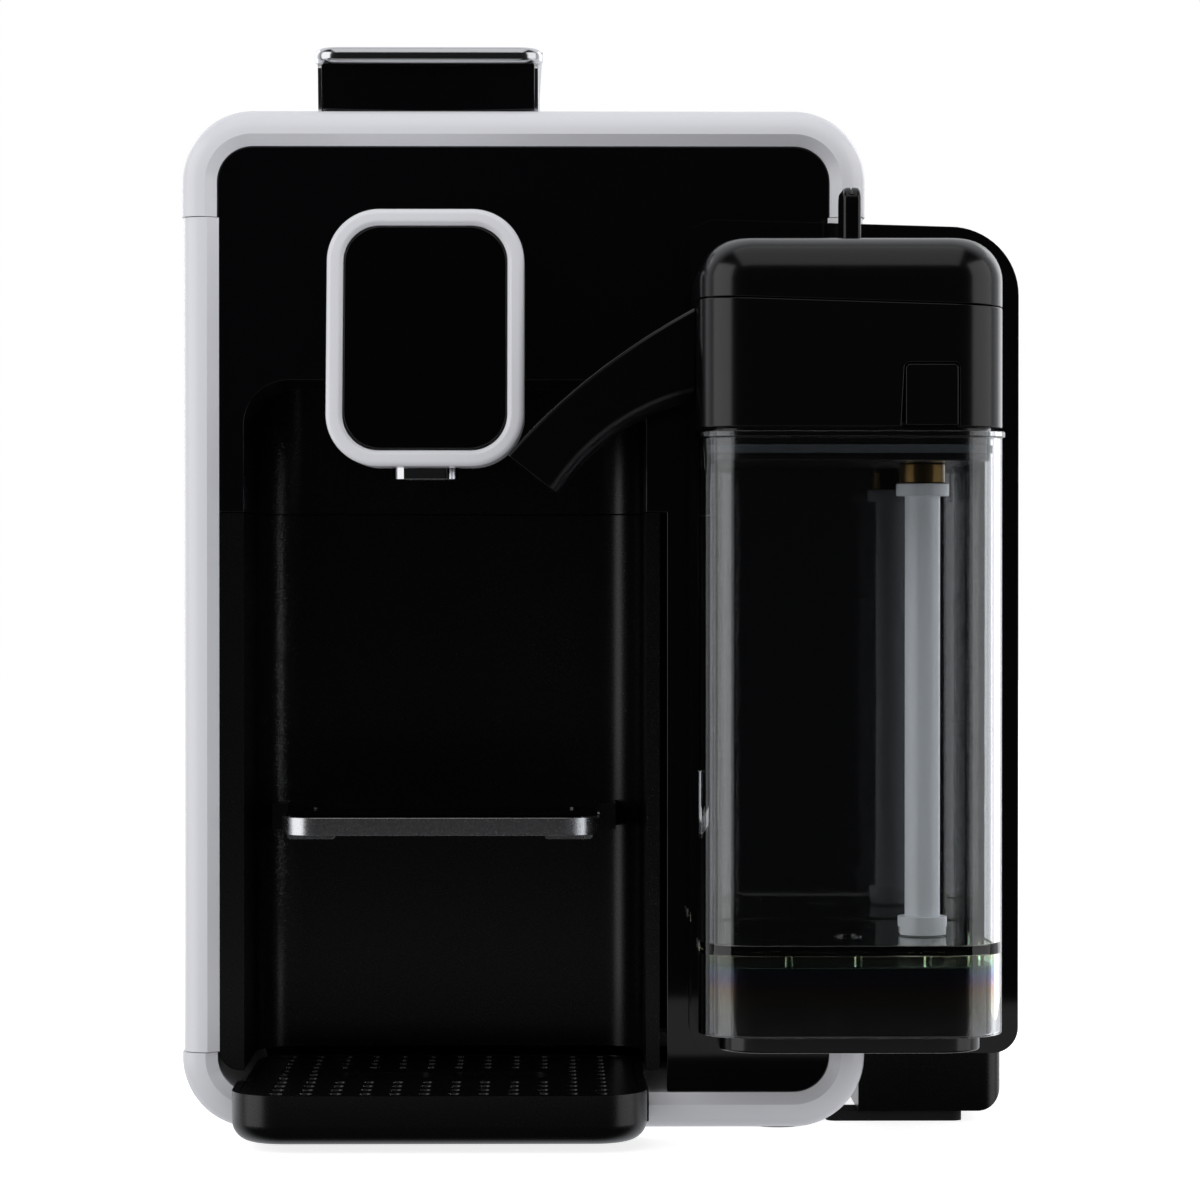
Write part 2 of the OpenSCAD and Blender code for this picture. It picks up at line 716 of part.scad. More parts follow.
module steam_nozzle() color("lightgray") difference() {
    union() {
        bar_y(steam_x, d(-20), d(11), steam_z, 5);
        bar_y(steam_x, d(10.8), d(14), steam_z, 8);
        bar_y(steam_x, d(13), d(22), steam_z, 3.5);
    }
    bar_y(steam_x, d(-21), d(23), steam_z, 2);
}

module milk_head_body() color("#0d0d0f") difference() {
    union() {
        slab_z(jug_top + 1, cap_z - 0.2) difference() {
            jug_plan(0);
            // hollow around the valve block
            intersection() {
                jug_plan(3);
                translate([jug_x0 + 3, d(jug_y0 + 9)]) square([jug_w - 6, jug_d - 18]);
            }
        }
        // floor and the plug that closes the jug
        slab_z(jug_top + 1, jug_top + 3.5) jug_plan(0.5);
        slab_z(201, jug_top + 1.5) jug_plan(jug_wall + 0.7);
        // valve block
        bar_z(knob_x, d(knob_y), jug_top + 2, 241, 9);
        bar_z(tube_x, d(tube_y), jug_top + 2, 224, 8);
        block([steam_x - 8, d(-34), jug_top + 2], [steam_x + 8, d(jug_y1 - 2), steam_z + 8]);
        block([peg_x - 8, d(-30), jug_top + 2], [peg_x + 8, d(jug_y1 - 2), steam_z + 8]);
        block([jug_x0 + 1, d(arm_y - 14), jug_top + 2], [jug_x0 + 14, d(arm_y + 14), arm_z + 13]);
    }
    // seal groove round the plug
    slab_z(203, 205.6) difference() {
        jug_plan(0);
        jug_plan(jug_wall + 2.2);
    }
    bar_y(steam_x, d(-24), d(jug_y1 + 1), steam_z, 5.06);
    bar_y(peg_x, d(-22), d(jug_y1 + 1), steam_z, 5.3);
    bar_z(knob_x, d(knob_y), 216, 242, 3.07);
    bar_z(tube_x, d(tube_y), 200, 225, 3.1);
    // socket of the milk spout
    bar_x(jug_x0 - 1, jug_x0 + 10, d(arm_y), arm_z, 9.06);
    // pocket and bore of the latch
    block([latch_x - latch_half - gap, d(jug_y0 - 1), jug_top + 0.5],
        [latch_x + latch_half + gap, d(jug_y0 + 5.8), 228]);
    bar_y(latch_x, d(jug_y0 + 5), d(jug_y0 + 10), latch_z, 2.06);
    bar_y(latch_x, d(jug_y0 + 5), d(jug_y0 + 7.9), latch_z, 3.6);
}

module milk_head_cap() color("#0d0d0f") difference() {
    intersection() {
        slab_z(cap_z, head_top) jug_plan(0);
        slab_y(d(jug_y0 - 1), d(jug_y1 + 1))
            rounded([jug_x0, cap_z - 30], [jug_x1, head_top], [0, 0, 13, 13]);
    }
    // hollow from below
    intersection() {
        slab_z(cap_z - 1, head_top - 2.6) jug_plan(2.6);
        slab_y(d(jug_y0 - 1), d(jug_y1 + 1))
            rounded([jug_x0 + 2.6, cap_z - 30], [jug_x1 - 2.6, head_top - 2.6], [0, 0, 10.4, 10.4]);
    }
    bar_z(knob_x, d(knob_y), cap_z, head_top + 1, 3.07);
}

module froth_knob() color("#111113") {
    bar_z(knob_x, d(knob_y), 220, head_top + 1, 3);
    bar_z(knob_x, d(knob_y), head_top + 0.3, head_top + 1.5, 12);
    difference() {
        block([knob_x - 2.6, d(knob_y - 11), head_top + 1], [knob_x + 2.6, d(knob_y + 11), 279.9]);
        // groove along the grip
        block([knob_x - 0.35, d(knob_y - 12), 277.5], [knob_x + 0.35, d(knob_y + 12), 281]);
        for (y = [-11, 11]) block([knob_x - 0.35, d(knob_y + y - 0.8), head_top + 3],
            [knob_x + 0.35, d(knob_y + y + 0.8), 281]);
    }
}

// Points of a shallow bow from p to q that rises by s in its middle
function bow(p, q, s, steps = 24) = let (along = q - p, side = [-along[1], along[0]] / norm(along))
    [for (i = [0:steps]) let (t = i / steps) p + along * t + side * s * 4 * t * (1 - t)];

// Front outline of the spout arm: a bowed top and underside and a slanted mouth
module arm_outline() polygon(concat(
    bow([jug_x0 - gap, 245.4], [-26.7, 203.5], -3),
    bow([-12.3, 192.2], [jug_x0 - gap, 219.4], 4.6)));

module milk_spout() color("#101012") difference() {
    union() {
        slab_y(d(arm_y - arm_t / 2), d(arm_y + arm_t / 2)) arm_outline();
        bar_x(jug_x0 - 0.6, jug_x0 + 9.5, d(arm_y), arm_z, 9);
    }
    // milk way: along the socket, then down to the mouth
    bar_x(jug_x0 - 8, jug_x0 + 10, d(arm_y), arm_z, 4);
    translate([-19.5, d(arm_y), 197.9]) rotate([0, 38, 0]) translate([0, 0, -6]) cylinder(r = 4.5, h = 22);
}

module latch_button() color("#1d1d20") {
    block([latch_x - latch_half, d(jug_y0), jug_top + 1.4],
        [latch_x + latch_half, d(jug_y0 + 2.5), 227.7]);
    bar_y(latch_x, d(jug_y0 + 2), d(jug_y0 + 9.5), latch_z, 2);
}

module latch_spring() color("silver") difference() {
    bar_y(latch_x, d(jug_y0 + 5.1), d(jug_y0 + 7.8), latch_z, 3.3);
    bar_y(latch_x, d(jug_y0 + 5), d(jug_y0 + 8), latch_z, 2.4);
}

module milk_jug() color("lightcyan", 0.4) difference() {
    union() {
        slab_z(jug_bottom, jug_top) jug_plan(0);
        slab_z(jug_top - 1.7, jug_top) jug_plan(-rim_out);
    }
    slab_z(jug_floor, jug_top + 1) jug_plan(jug_wall);
    slab_z(jug_bottom - 1, jug_floor - 2.5) jug_plan(jug_wall);
}

module jug_base() color("#121214") {
    slab_z(36.4, jug_bottom - 0.2)
        rounded([jug_x0 + 6.3, d(jug_y0 + 6)], [jug_x1 - 5.8, d(jug_y1 - 6)], 12);
    slab_z(jug_bottom - 0.2 - lap, 60.8) jug_plan(jug_wall + 0.3);
}

module jug_seal() color("silver") slab_z(203.1, 205.5) difference() {
    jug_plan(jug_wall + 0.15);
    jug_plan(jug_wall + 2.1);
}

module suction_tube() color("white", 0.8) difference() {
    union() {
        bar_z(tube_x, d(tube_y), 71, 195, 5);
        bar_z(tube_x, d(tube_y), 191.7, 195.2, 7.5);
    }
    bar_z(tube_x, d(tube_y), 70, 196, 3.2);
}

module tube_foot() color("white", 0.8) difference() {
    bar_z(tube_x, d(tube_y), jug_floor + 0.4, 72, 7);
    bar_z(tube_x, d(tube_y), 70.8, 73, 5.05);
    bar_z(tube_x, d(tube_y), jug_floor, 72, 3.2);
    block([tube_x - 8, d(tube_y - 2.5), jug_floor], [tube_x + 8, d(tube_y + 2.5), jug_floor + 2.6]);
}

module tube_connector() color("#3b3524") difference() {
    union() {
        bar_z(tube_x, d(tube_y), 195.4, 200.8, 6.4);
        bar_z(tube_x, d(tube_y), 186, 196, 3.1);
        bar_z(tube_x, d(tube_y), 200, 218, 3.05);
    }
    bar_z(tube_x, d(tube_y), 185, 219, 1.8);
}

// ---- water tank ----

module water_tank() color("slategray", 0.6) difference() {
    union() {
        slab_z(tank_z0, tank_z1) tank_plan(0);
        // ears for the lid's hinge
        pair(body_x) slab_x(tank_w / 2 - 14, tank_w / 2 - 10) {
            translate([lid_y - 4, tank_z1 - 6]) square([8, lid_z - tank_z1 + 6]);
            translate([lid_y, lid_z]) circle(4);
        }
    }
    slab_z(tank_z0 + 2.5, tank_z1 + 1) difference() {
        tank_plan(2.5);
        translate([tank_x0, lid_y - 5]) square([tank_w, 20]);
    }
    bar_z(body_x, valve_y, tank_z0 - 1, tank_z0 + 3, 3.05);
    bar_x(tank_x0, tank_x1, lid_y, lid_z, 1.56);
}

module tank_lid() color("#1f2023") difference() {
    union() {
        slab_z(tank_z1 + 0.4, tank_z1 + 4)
            rounded([tank_x0, tank_y0], [tank_x1, lid_y - 4.6], [6, 6, 2, 2]);
        bar_x(tank_x0 + 14.6, tank_x1 - 14.6, lid_y, lid_z, 3);
        block([tank_x0 + 14.6, lid_y - 6, tank_z1 + 2.2], [tank_x1 - 14.6, lid_y, tank_z1 + 4.6]);
        bar_x(tank_x0 + 10.2, tank_x1 - 10.2, lid_y, lid_z, 1.5);
    }
    // finger recess at the front edge
    slab_z(tank_z1, tank_z1 + 5) rounded([body_x - 12, tank_y0 - 3], [body_x + 12, tank_y0 + 3], 2.5);
}

module tank_valve() color("#d8d8d8") {
    bar_z(body_x, valve_y, foot_h + 8, tank_z0 + 3, 3);
    bar_z(body_x, valve_y, tank_z0 + 2.6, tank_z0 + 5, 6);
    bar_z(body_x, valve_y, foot_h + 8, foot_h + 8.8, 5);
}

module tank_valve_spring() color("silver") difference() {
    bar_z(body_x, valve_y, foot_h + 9, tank_z0 - 0.3, 4.6);
    bar_z(body_x, valve_y, foot_h + 8, tank_z0, 3.4);
}

// ---- inside the body ----

module pump() color("#8a8d92") {
    bar_y(pump_x, d(70), d(118), pump_z, 19);
    block([pump_x - 20, d(78), pump_z - 20], [pump_x + 20, d(108), pump_z + 20]);
    bar_y(pump_x, d(60), d(71), pump_z, 6);
    bar_y(pump_x, d(117), d(132), pump_z, 4);
}

module pump_mounts() color("#26262a") for (y = [d(74), d(112)]) difference() {
    block([pump_x - 20, y - 2, foot_h + 6.2], [pump_x + 20, y + 2, pump_z + 20]);
    bar_y(pump_x, y - 3, y + 3, pump_z, 19.05);
}

module thermoblock() color("silver") difference() {
    union() {
        block([heater_x0, d(60), heater_z], [heater_x0 + 46, d(130), heater_z + 46]);
        // cooling ribs
        for (i = [0:4]) block([heater_x0 + 10.7 * i, d(60), heater_z + 45],
            [heater_x0 + 3.2 + 10.7 * i, d(130), heater_z + 56]);
    }
    bar_y(pump_x, d(59), d(75), heater_z + 15, 2);
    bar_y(heater_out_x, d(118), d(131), heater_z + 23, 2);
}

module steam_boiler() color("lightsteelblue") {
    bar_z(boiler_x, d(80), 50, 150, 14);
    bar_z(boiler_x, d(80), 149, 160, 5);
    block([boiler_x - 15, d(74), 44], [boiler_x + 15, d(86), 51]);
}

module flow_meter() color("whitesmoke") {
    bar_z(body_x, d(157), supply_z - 5, supply_z + 8, 12);
    bar_y(body_x, d(141), d(173), supply_z, 3.5);
}

module control_board() color("darkgreen") {
    block([72.5, d(20), 185], [74.1, d(95), 270]);
    block([60, d(30), 200], [72.6, d(50), 225]);
    block([62, d(60), 232], [72.6, d(84), 252]);
    bar_x(60, 72.6, d(40), 250, 6);
}

module solenoid_valve() color("#6f7378") {
    block([valve_x - 12, d(140), 200], [valve_x + 12, d(166), 226]);
    bar_z(valve_x, d(153), 225, 248, 9);
    bar_z(valve_x, d(153), 190, 201, 4);
}

// A hose through a list of points, with round elbows
module hose(points) for (i = [1:len(points) - 1]) {
    step = points[i] - points[i - 1];
    translate(points[i - 1])
        rotate([0, acos(step[2] / norm(step)), atan2(step[1], step[0])])
        cylinder(r = hose_r, h = norm(step));
    if (i < len(points) - 1) translate(points[i]) sphere(hose_r);
}

module hoses() color("gainsboro") {
    // tank to flow meter
    hose([[body_x, valve_y - 9.5, supply_z], [body_x, d(173.2), supply_z]]);
    // flow meter to pump
    hose([[body_x, d(140.8), supply_z], [body_x, d(136), supply_z], [pump_x, d(136), supply_z],
        [pump_x, d(136), pump_z], [pump_x, d(132.2), pump_z]]);
    // pump to thermoblock
    hose([[pump_x, d(59.8), pump_z], [pump_x, d(54), pump_z], [pump_x, d(54), heater_z + 15],
        [pump_x, d(59.8), heater_z + 15]]);
    // thermoblock to solenoid valve
    hose([[heater_out_x, d(130.2), heater_z + 23], [valve_x, d(153), heater_z + 23],
        [valve_x, d(153), 189.8]]);
    // solenoid valve to the brewing chamber
    hose([[valve_x - 12.2, d(158), 213], [head_x, d(158), 213], [head_x, d(158), chamber_z],
        [head_x, d(146.2), chamber_z]]);
    // brewing chamber to the brew head
    hose([[head_x, d(49.8), 246], [head_x, d(16), 246], [head_x, d(16), niche_top - 0.1]]);
    // thermoblock to steam boiler, and steam to its nozzle
    hose([[heater_x0 + 46.2, d(80), heater_z + 23], [boiler_x - 14.2, d(80), heater_z + 23]]);
    hose([[boiler_x, d(80), 160.2], [steam_x, d(80), steam_z], [steam_x, d(22.2), steam_z]]);
}

module mains_inlet() color("#161616") difference() {
    block([inlet_x - 13.8, y_back - 24, 30.2], [inlet_x + 13.8, y_back + 1.5, 50.8]);
    block([inlet_x - 11.5, y_back - 18, 32.5], [inlet_x + 11.5, y_back + 2, 48.5]);
}

module power_switch() color("#101010") difference() {
    slab_x(inlet_x - 6.4, inlet_x + 6.4)
        polygon([[y_back - 6, 69], [y_back - 0.5, 67.5], [y_back + 2.6, 67.5],
            [y_back + 0.6, switch_pivot_z], [y_back + 0.8, 84.5], [y_back - 0.5, 84.5],
            [y_back - 6, 83]]);
    // holes for the rear cover's pivots
    bar_x(inlet_x - 7, inlet_x + 7, switch_pivot_y, switch_pivot_z, 0.9);
}

module case_screws() color("silver") for (x = screw_x, z = screw_z) {
    bar_y(x, y_back - 12, y_back + 0.1, z, 1.5);
    bar_y(x, y_back, y_back + 1.8, z, 2.9);
}

base_plate();
rubber_feet();
bottom_band();
left_side_panel();
right_side_panel();
top_cover();
rear_cover();
front_panel();
niche_upper();
head_ring();
head_shell();
display_glass();
display_board();
coffee_spout();
lever_bracket();
lever_frame();
lever_insert();
lever_crank();
lever_pin();
brew_frame();
injection_cage();
brew_carriage();
pod_drawer();
pod_bin();
drip_tray();
drip_grid();
cup_shelf();
shelf_trim();
shelf_pin();
milk_dock();
side_housing();
steam_nozzle();
milk_head_body();
milk_head_cap();
froth_knob();
milk_spout();
latch_button();
latch_spring();
milk_jug();
jug_base();
jug_seal();
suction_tube();
tube_foot();
tube_connector();
water_tank();
tank_lid();
tank_valve();
tank_valve_spring();
pump();
pump_mounts();
thermoblock();
steam_boiler();
flow_meter();
control_board();
solenoid_valve();
hoses();
mains_inlet();
power_switch();
case_screws();
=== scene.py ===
# Pod coffee machine with a clip-on milk frothing unit, dressed piece by piece around its frame.
# Lengths are in metres. +X is right, +Y is back, +Z is up, and the table is at z = 0.

import json
import math

import bmesh
import bpy
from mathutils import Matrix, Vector

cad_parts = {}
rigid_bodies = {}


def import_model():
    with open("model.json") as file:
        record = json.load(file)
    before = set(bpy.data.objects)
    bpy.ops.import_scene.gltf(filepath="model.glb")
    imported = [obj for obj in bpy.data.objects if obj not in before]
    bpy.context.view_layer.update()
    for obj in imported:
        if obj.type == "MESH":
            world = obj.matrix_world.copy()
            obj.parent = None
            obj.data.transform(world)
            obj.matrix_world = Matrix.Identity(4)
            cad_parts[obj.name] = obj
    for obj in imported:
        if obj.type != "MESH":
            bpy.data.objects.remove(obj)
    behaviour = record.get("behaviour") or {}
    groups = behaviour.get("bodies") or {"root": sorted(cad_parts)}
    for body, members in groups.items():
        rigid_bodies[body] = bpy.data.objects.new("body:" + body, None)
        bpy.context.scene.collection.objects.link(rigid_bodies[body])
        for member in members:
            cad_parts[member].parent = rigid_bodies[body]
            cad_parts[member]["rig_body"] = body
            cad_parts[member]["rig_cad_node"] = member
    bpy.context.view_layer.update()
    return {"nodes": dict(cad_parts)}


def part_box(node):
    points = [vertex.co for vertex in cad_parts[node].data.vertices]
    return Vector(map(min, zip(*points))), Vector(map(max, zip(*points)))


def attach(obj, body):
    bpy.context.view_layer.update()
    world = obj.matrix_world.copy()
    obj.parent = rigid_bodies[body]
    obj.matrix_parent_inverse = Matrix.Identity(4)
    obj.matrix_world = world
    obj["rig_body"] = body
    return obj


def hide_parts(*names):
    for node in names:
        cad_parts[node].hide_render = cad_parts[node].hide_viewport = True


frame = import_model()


# ---- Studio ----
# A white sweep and table, a tall softbox on each side and one overhead. The space behind the camera
# is left dark, so that glossy black mouldings show only the softboxes.
mm = 0.001
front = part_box("top_cover")[0].y

view_point = Vector((-11.7 * mm, front - 1.2, 173.5 * mm))
view_aim = Vector((0.3 * mm, front, 161.5 * mm))
camera_data = bpy.data.cameras.new("camera")
camera_data.lens = 120
camera_data.sensor_width = 36
camera = bpy.data.objects.new("camera", camera_data)
bpy.context.scene.collection.objects.link(camera)
camera.location = view_point
camera.rotation_euler = (view_aim - view_point).to_track_quat("-Z", "Y").to_euler()
bpy.context.scene.camera = camera
bpy.context.scene.view_settings.view_transform = "Standard"


def softbox(name, place, aim, width, height, watts):
    """A rectangular soft light that the camera itself doesn't see."""
    light = bpy.data.lights.new(name, "AREA")
    light.shape = "RECTANGLE"
    light.size = width
    light.size_y = height
    light.energy = watts
    lamp = bpy.data.objects.new(name, light)
    bpy.context.scene.collection.objects.link(lamp)
    lamp.location = place
    lamp.rotation_euler = (Vector(aim) - Vector(place)).to_track_quat("-Z", "Y").to_euler()
    lamp.visible_camera = False


softbox("softbox_left", (-1.24, -0.50, 0.42), (0, -0.05, 0.18), 1.1, 1.5, 6.5)
softbox("softbox_right", (1.24, -0.42, 0.42), (0, -0.05, 0.18), 1.1, 1.5, 5.6)
softbox("softbox_top", (0, -0.55, 1.40), (0, -0.15, 0.1), 1.3, 1.5, 4.2)
softbox("bounce_card", (0, -0.33, 0.003), (0, -0.33, 1), 0.9, 0.18, 0.16)
softbox("softbox_rear_left", (-1.0, 1.1, 0.5), (0, 0.05, 0.18), 0.8, 1.3, 3.5)
softbox("softbox_rear_right", (1.0, 1.1, 0.5), (0, 0.05, 0.18), 0.8, 1.3, 3.5)


def add_node(tree, kind, settings=(), links=()):
    """Adds a node; settings and links pair an input or a property with its value or source."""
    node = tree.nodes.new(kind)
    for key, value in settings:
        if isinstance(key, int) or key in node.inputs:
            node.inputs[key].default_value = value
        else:
            setattr(node, key, value)
    for key, source in links:
        tree.links.new(source, node.inputs[key])
    return node


def srgb(code):
    """Linear colour of an sRGB hex value such as f2f2f4."""
    channels = [int(code[i:i + 2], 16) / 255 for i in (0, 2, 4)]
    return (*[c / 12.92 if c <= 0.04045 else ((c + 0.055) / 1.055) ** 2.4 for c in channels], 1)


# Polished surfaces see the bright sweep only behind the machine, and a dark room in front of it.
room = bpy.data.worlds.new("room")
room.use_nodes = True
bpy.context.scene.world = room
sky = room.node_tree
sky.nodes.clear()
ray = add_node(sky, "ShaderNodeLightPath")
direction = add_node(sky, "ShaderNodeTexCoord")
parts = add_node(sky, "ShaderNodeSeparateXYZ", (), [("Vector", direction.outputs["Generated"])])
sweep = add_node(sky, "ShaderNodeMapRange", [("From Min", 0.05), ("From Max", 0.45),
    ("To Min", 0.012), ("To Max", 0.85)], [("Value", parts.outputs["Y"])])
mirrored = add_node(sky, "ShaderNodeBackground", [("Color", srgb("f4f6fa"))],
    [("Strength", sweep.outputs["Result"])])
fill = add_node(sky, "ShaderNodeBackground", [("Color", srgb("f6f7fa")), ("Strength", 0.53)])
backdrop = add_node(sky, "ShaderNodeBackground", [("Color", (1, 1, 1, 1)), ("Strength", 1.0)])
lit = add_node(sky, "ShaderNodeMixShader", (), [(0, ray.outputs["Is Diffuse Ray"]),
    (1, mirrored.outputs[0]), (2, fill.outputs[0])])
seen = add_node(sky, "ShaderNodeMixShader", (), [(0, ray.outputs["Is Camera Ray"]),
    (1, lit.outputs[0]), (2, backdrop.outputs[0])])
add_node(sky, "ShaderNodeOutputWorld", (), [("Surface", seen.outputs[0])])

bpy.ops.object.select_all(action="DESELECT")
bpy.ops.mesh.primitive_plane_add(size=9)
table = bpy.context.object
table.name = "table"
table.visible_glossy = False
table.visible_transmission = False
table.visible_diffuse = False
paper = bpy.data.materials.new("white_sweep_paper")
paper.use_nodes = True
paper_shader = paper.node_tree.nodes["Principled BSDF"]
paper_shader.inputs["Base Color"].default_value = srgb("f4f4f4")
paper_shader.inputs["Roughness"].default_value = 0.9
paper_shader.inputs["Emission Color"].default_value = (1, 1, 1, 1)
paper_shader.inputs["Emission Strength"].default_value = 0.8
table.data.materials.append(paper)


# ---- White frame ----
# Four glossy white ABS mouldings: a top piece, a bottom piece and two side strips set in by 0.6 mm.
# All share one section: a soft outer curve up to a ridge, then a flat bevel down to the panel.
body_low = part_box("bottom_band")[0]
body_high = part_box("top_cover")[1]
corner = 21.5 * mm
band = 7.3 * mm
frame_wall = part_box("front_panel")[0].x - 0.2 * mm - body_low.x
panel_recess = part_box("front_panel")[0].y - front


def choose(piece):
    """Makes a piece the only selected one, and the active one."""
    bpy.ops.object.select_all(action="DESELECT")
    piece.select_set(True)
    bpy.context.view_layer.objects.active = piece


def open_mesh(piece):
    """Opens one piece's mesh with nothing selected, in it or around it."""
    choose(piece)
    bpy.ops.object.mode_set(mode="EDIT")
    bpy.ops.mesh.select_all(action="DESELECT")


def close_mesh():
    """Goes back to object mode."""
    bpy.ops.object.mode_set(mode="OBJECT")


def pick(kind, test):
    """Selects only the open mesh's vertices, edges or faces that pass test(middle, direction)."""
    bpy.ops.mesh.select_mode(type=kind)
    bpy.ops.mesh.select_all(action="DESELECT")
    mesh = bmesh.from_edit_mesh(bpy.context.edit_object.data)
    if kind == "FACE":
        found = [face for face in mesh.faces if test(face.calc_center_median(), face.normal)]
    elif kind == "EDGE":
        found = [edge for edge in mesh.edges if test((edge.verts[0].co + edge.verts[1].co) / 2,
            (edge.verts[1].co - edge.verts[0].co).normalized())]
    else:
        found = [vert for vert in mesh.verts if test(vert.co, vert.normal)]
    for item in found:
        item.select_set(True)
    mesh.select_flush_mode()
    bmesh.update_edit_mesh(bpy.context.edit_object.data)


def near(a, b, slack=0.05 * mm):
    """Two places are the same, within a slack."""
    return abs(a - b) < slack


def place_here(name):
    """Names the new primitive and moves its place into its mesh."""
    piece = bpy.context.object
    piece.name = name
    bpy.ops.object.transform_apply(location=True, rotation=True, scale=True)
    return piece


def settle(piece, finish, *nodes, smooth=35):
    """Gives a piece its material, smooth faces and body, and hides the CAD nodes that it stands
    for.
    """
    piece.data.materials.clear()
    piece.data.materials.append(finish)
    choose(piece)
    bpy.ops.object.shade_smooth_by_angle(angle=math.radians(smooth))
    weights = piece.modifiers.new("flat_faces", "WEIGHTED_NORMAL")
    weights.keep_sharp = True
    bpy.ops.object.modifier_apply(modifier=weights.name)
    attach(piece, frame["nodes"][nodes[0]]["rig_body"])
    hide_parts(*nodes)


def block(name, low, high):
    """A plain box between two corners, to be shaped further."""
    low, high = Vector(low), Vector(high)
    bpy.ops.object.select_all(action="DESELECT")
    bpy.ops.mesh.primitive_cube_add(size=1, location=(low + high) / 2, scale=high - low)
    return place_here(name)


def cut(piece, cutter, operation="DIFFERENCE"):
    """Takes the cutter's shape out of the piece, or adds it, and removes the cutter."""
    choose(piece)
    change = piece.modifiers.new("cut", "BOOLEAN")
    change.operation = operation
    change.solver = "EXACT"
    change.object = cutter
    bpy.ops.object.modifier_apply(modifier=change.name)
    bpy.data.objects.remove(cutter)


def twin(piece, name):
    """A copy of a piece with its own mesh."""
    copy = piece.copy()
    copy.data = piece.data.copy()
    copy.name = name
    bpy.context.scene.collection.objects.link(copy)
    return copy


def keep_beyond(piece, point, direction):
    """Cuts a closed piece with a plane and keeps the side that the direction points to."""
    open_mesh(piece)
    bpy.ops.mesh.select_all(action="SELECT")
    bpy.ops.mesh.bisect(plane_co=point, plane_no=direction, use_fill=True, clear_inner=True)
    close_mesh()


def rounded_block(name, low, high, along, radii, steps=12):
    """A box with the edges along one axis rounded; radii go round from the lowest corner."""
    piece = block(name, low, high)
    a, b = [axis for axis in range(3) if axis != along]
    corners = [(low[a], low[b]), (high[a], low[b]), (high[a], high[b]), (low[a], high[b])]
    open_mesh(piece)
    for (p, q), radius in zip(corners, radii):
        if radius:
            pick("EDGE", lambda middle, way: abs(way[along]) > 0.99 and near(middle[a], p)
                and near(middle[b], q))
            bpy.ops.mesh.bevel(offset=radius, segments=steps, affect="EDGES")
    close_mesh()
    return piece


def push_out(vector):
    """Extrudes the selected faces by a vector."""
    bpy.ops.mesh.extrude_region_move(
        TRANSFORM_OT_translate={"value": vector, "orient_type": "GLOBAL"})


# the whole frame: its front face curves out to the ridge and goes down the bevel to the panel
curve_depth = 5.5 * mm
curve_steps = 8
skin = 3 * mm
body_middle = (body_low + body_high) / 2
whole_frame = rounded_block("whole_frame", (body_low.x, front + curve_depth, body_low.z),
    body_high, 1, (corner,) * 4, 24)
open_mesh(whole_frame)
pick("FACE", lambda middle, way: way.y < -0.99)
for i in range(curve_steps):
    turn, next_turn = (math.pi / 2 * (i + j) / curve_steps for j in (0, 1))
    bpy.ops.mesh.inset(thickness=band * (math.cos(turn) - math.cos(next_turn)),
        depth=curve_depth * (math.sin(next_turn) - math.sin(turn)))
bpy.ops.mesh.inset(thickness=frame_wall - band, depth=-panel_recess)
push_out((0, 9 * mm, 0))
bpy.ops.mesh.delete(type="ONLY_FACE")
pick("FACE", lambda middle, way: way.y > 0.99)
bpy.ops.mesh.inset(thickness=skin)
bpy.ops.mesh.delete(type="ONLY_FACE")
bpy.ops.mesh.select_mode(type="EDGE")
bpy.ops.mesh.select_all(action="DESELECT")
bpy.ops.mesh.select_non_manifold()
bpy.ops.mesh.bridge_edge_loops()
bpy.ops.mesh.select_all(action="SELECT")
bpy.ops.mesh.normals_make_consistent(inside=False)
close_mesh()


def new_material(name, colour, roughness, **settings):
    """A material with one Principled shader; settings name the shader's other inputs."""
    material = bpy.data.materials.new(name)
    material.use_nodes = True
    shader = material.node_tree.nodes["Principled BSDF"]
    shader.inputs["Base Color"].default_value = srgb(colour)
    shader.inputs["Roughness"].default_value = roughness
    for key, value in settings.items():
        shader.inputs[key.replace("_", " ")].default_value = value
    return material


def grain(material, size, height, roughness_spread=0.0, detail=2.0):
    """Gives a surface its fine unevenness: lumps of a real size and height, and uneven gloss."""
    tree = material.node_tree
    shader = tree.nodes["Principled BSDF"]
    place = add_node(tree, "ShaderNodeTexCoord")
    lumps = add_node(tree, "ShaderNodeTexNoise", [("Scale", 1 / size), ("Detail", detail)],
        [("Vector", place.outputs["Object"])])
    bump = add_node(tree, "ShaderNodeBump", [("Strength", 1.0), ("Distance", height)],
        [("Height", lumps.outputs["Fac"])])
    tree.links.new(bump.outputs["Normal"], shader.inputs["Normal"])
    if roughness_spread:
        middle = shader.inputs["Roughness"].default_value
        gloss = add_node(tree, "ShaderNodeMapRange", [("To Min", middle - roughness_spread),
            ("To Max", middle + roughness_spread)], [("Value", lumps.outputs["Fac"])])
        tree.links.new(gloss.outputs["Result"], shader.inputs["Roughness"])
    return lumps


# glossy injection-moulded ABS: a clear reflection, softened by a slight waviness
white_abs = new_material("glossy_white_abs", "ececf0", 0.24, IOR=1.53)
grain(white_abs, 9 * mm, 0.006 * mm, 0.03)

seam_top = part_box("top_cover")[0].z
seam_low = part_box("bottom_band")[1].z
seam = 0.12 * mm
strip_inset = 0.6 * mm

top_piece = twin(whole_frame, "frame_top")
keep_beyond(top_piece, (0, 0, seam_top + seam), (0, 0, 1))
lever_mouth_low, lever_mouth_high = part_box("lever_bracket")
mouth_gap = Vector((0.3 * mm, 0.3 * mm, 4 * mm))
cut(top_piece, block("cutter", lever_mouth_low - mouth_gap, lever_mouth_high + mouth_gap))
settle(top_piece, white_abs, "top_cover")

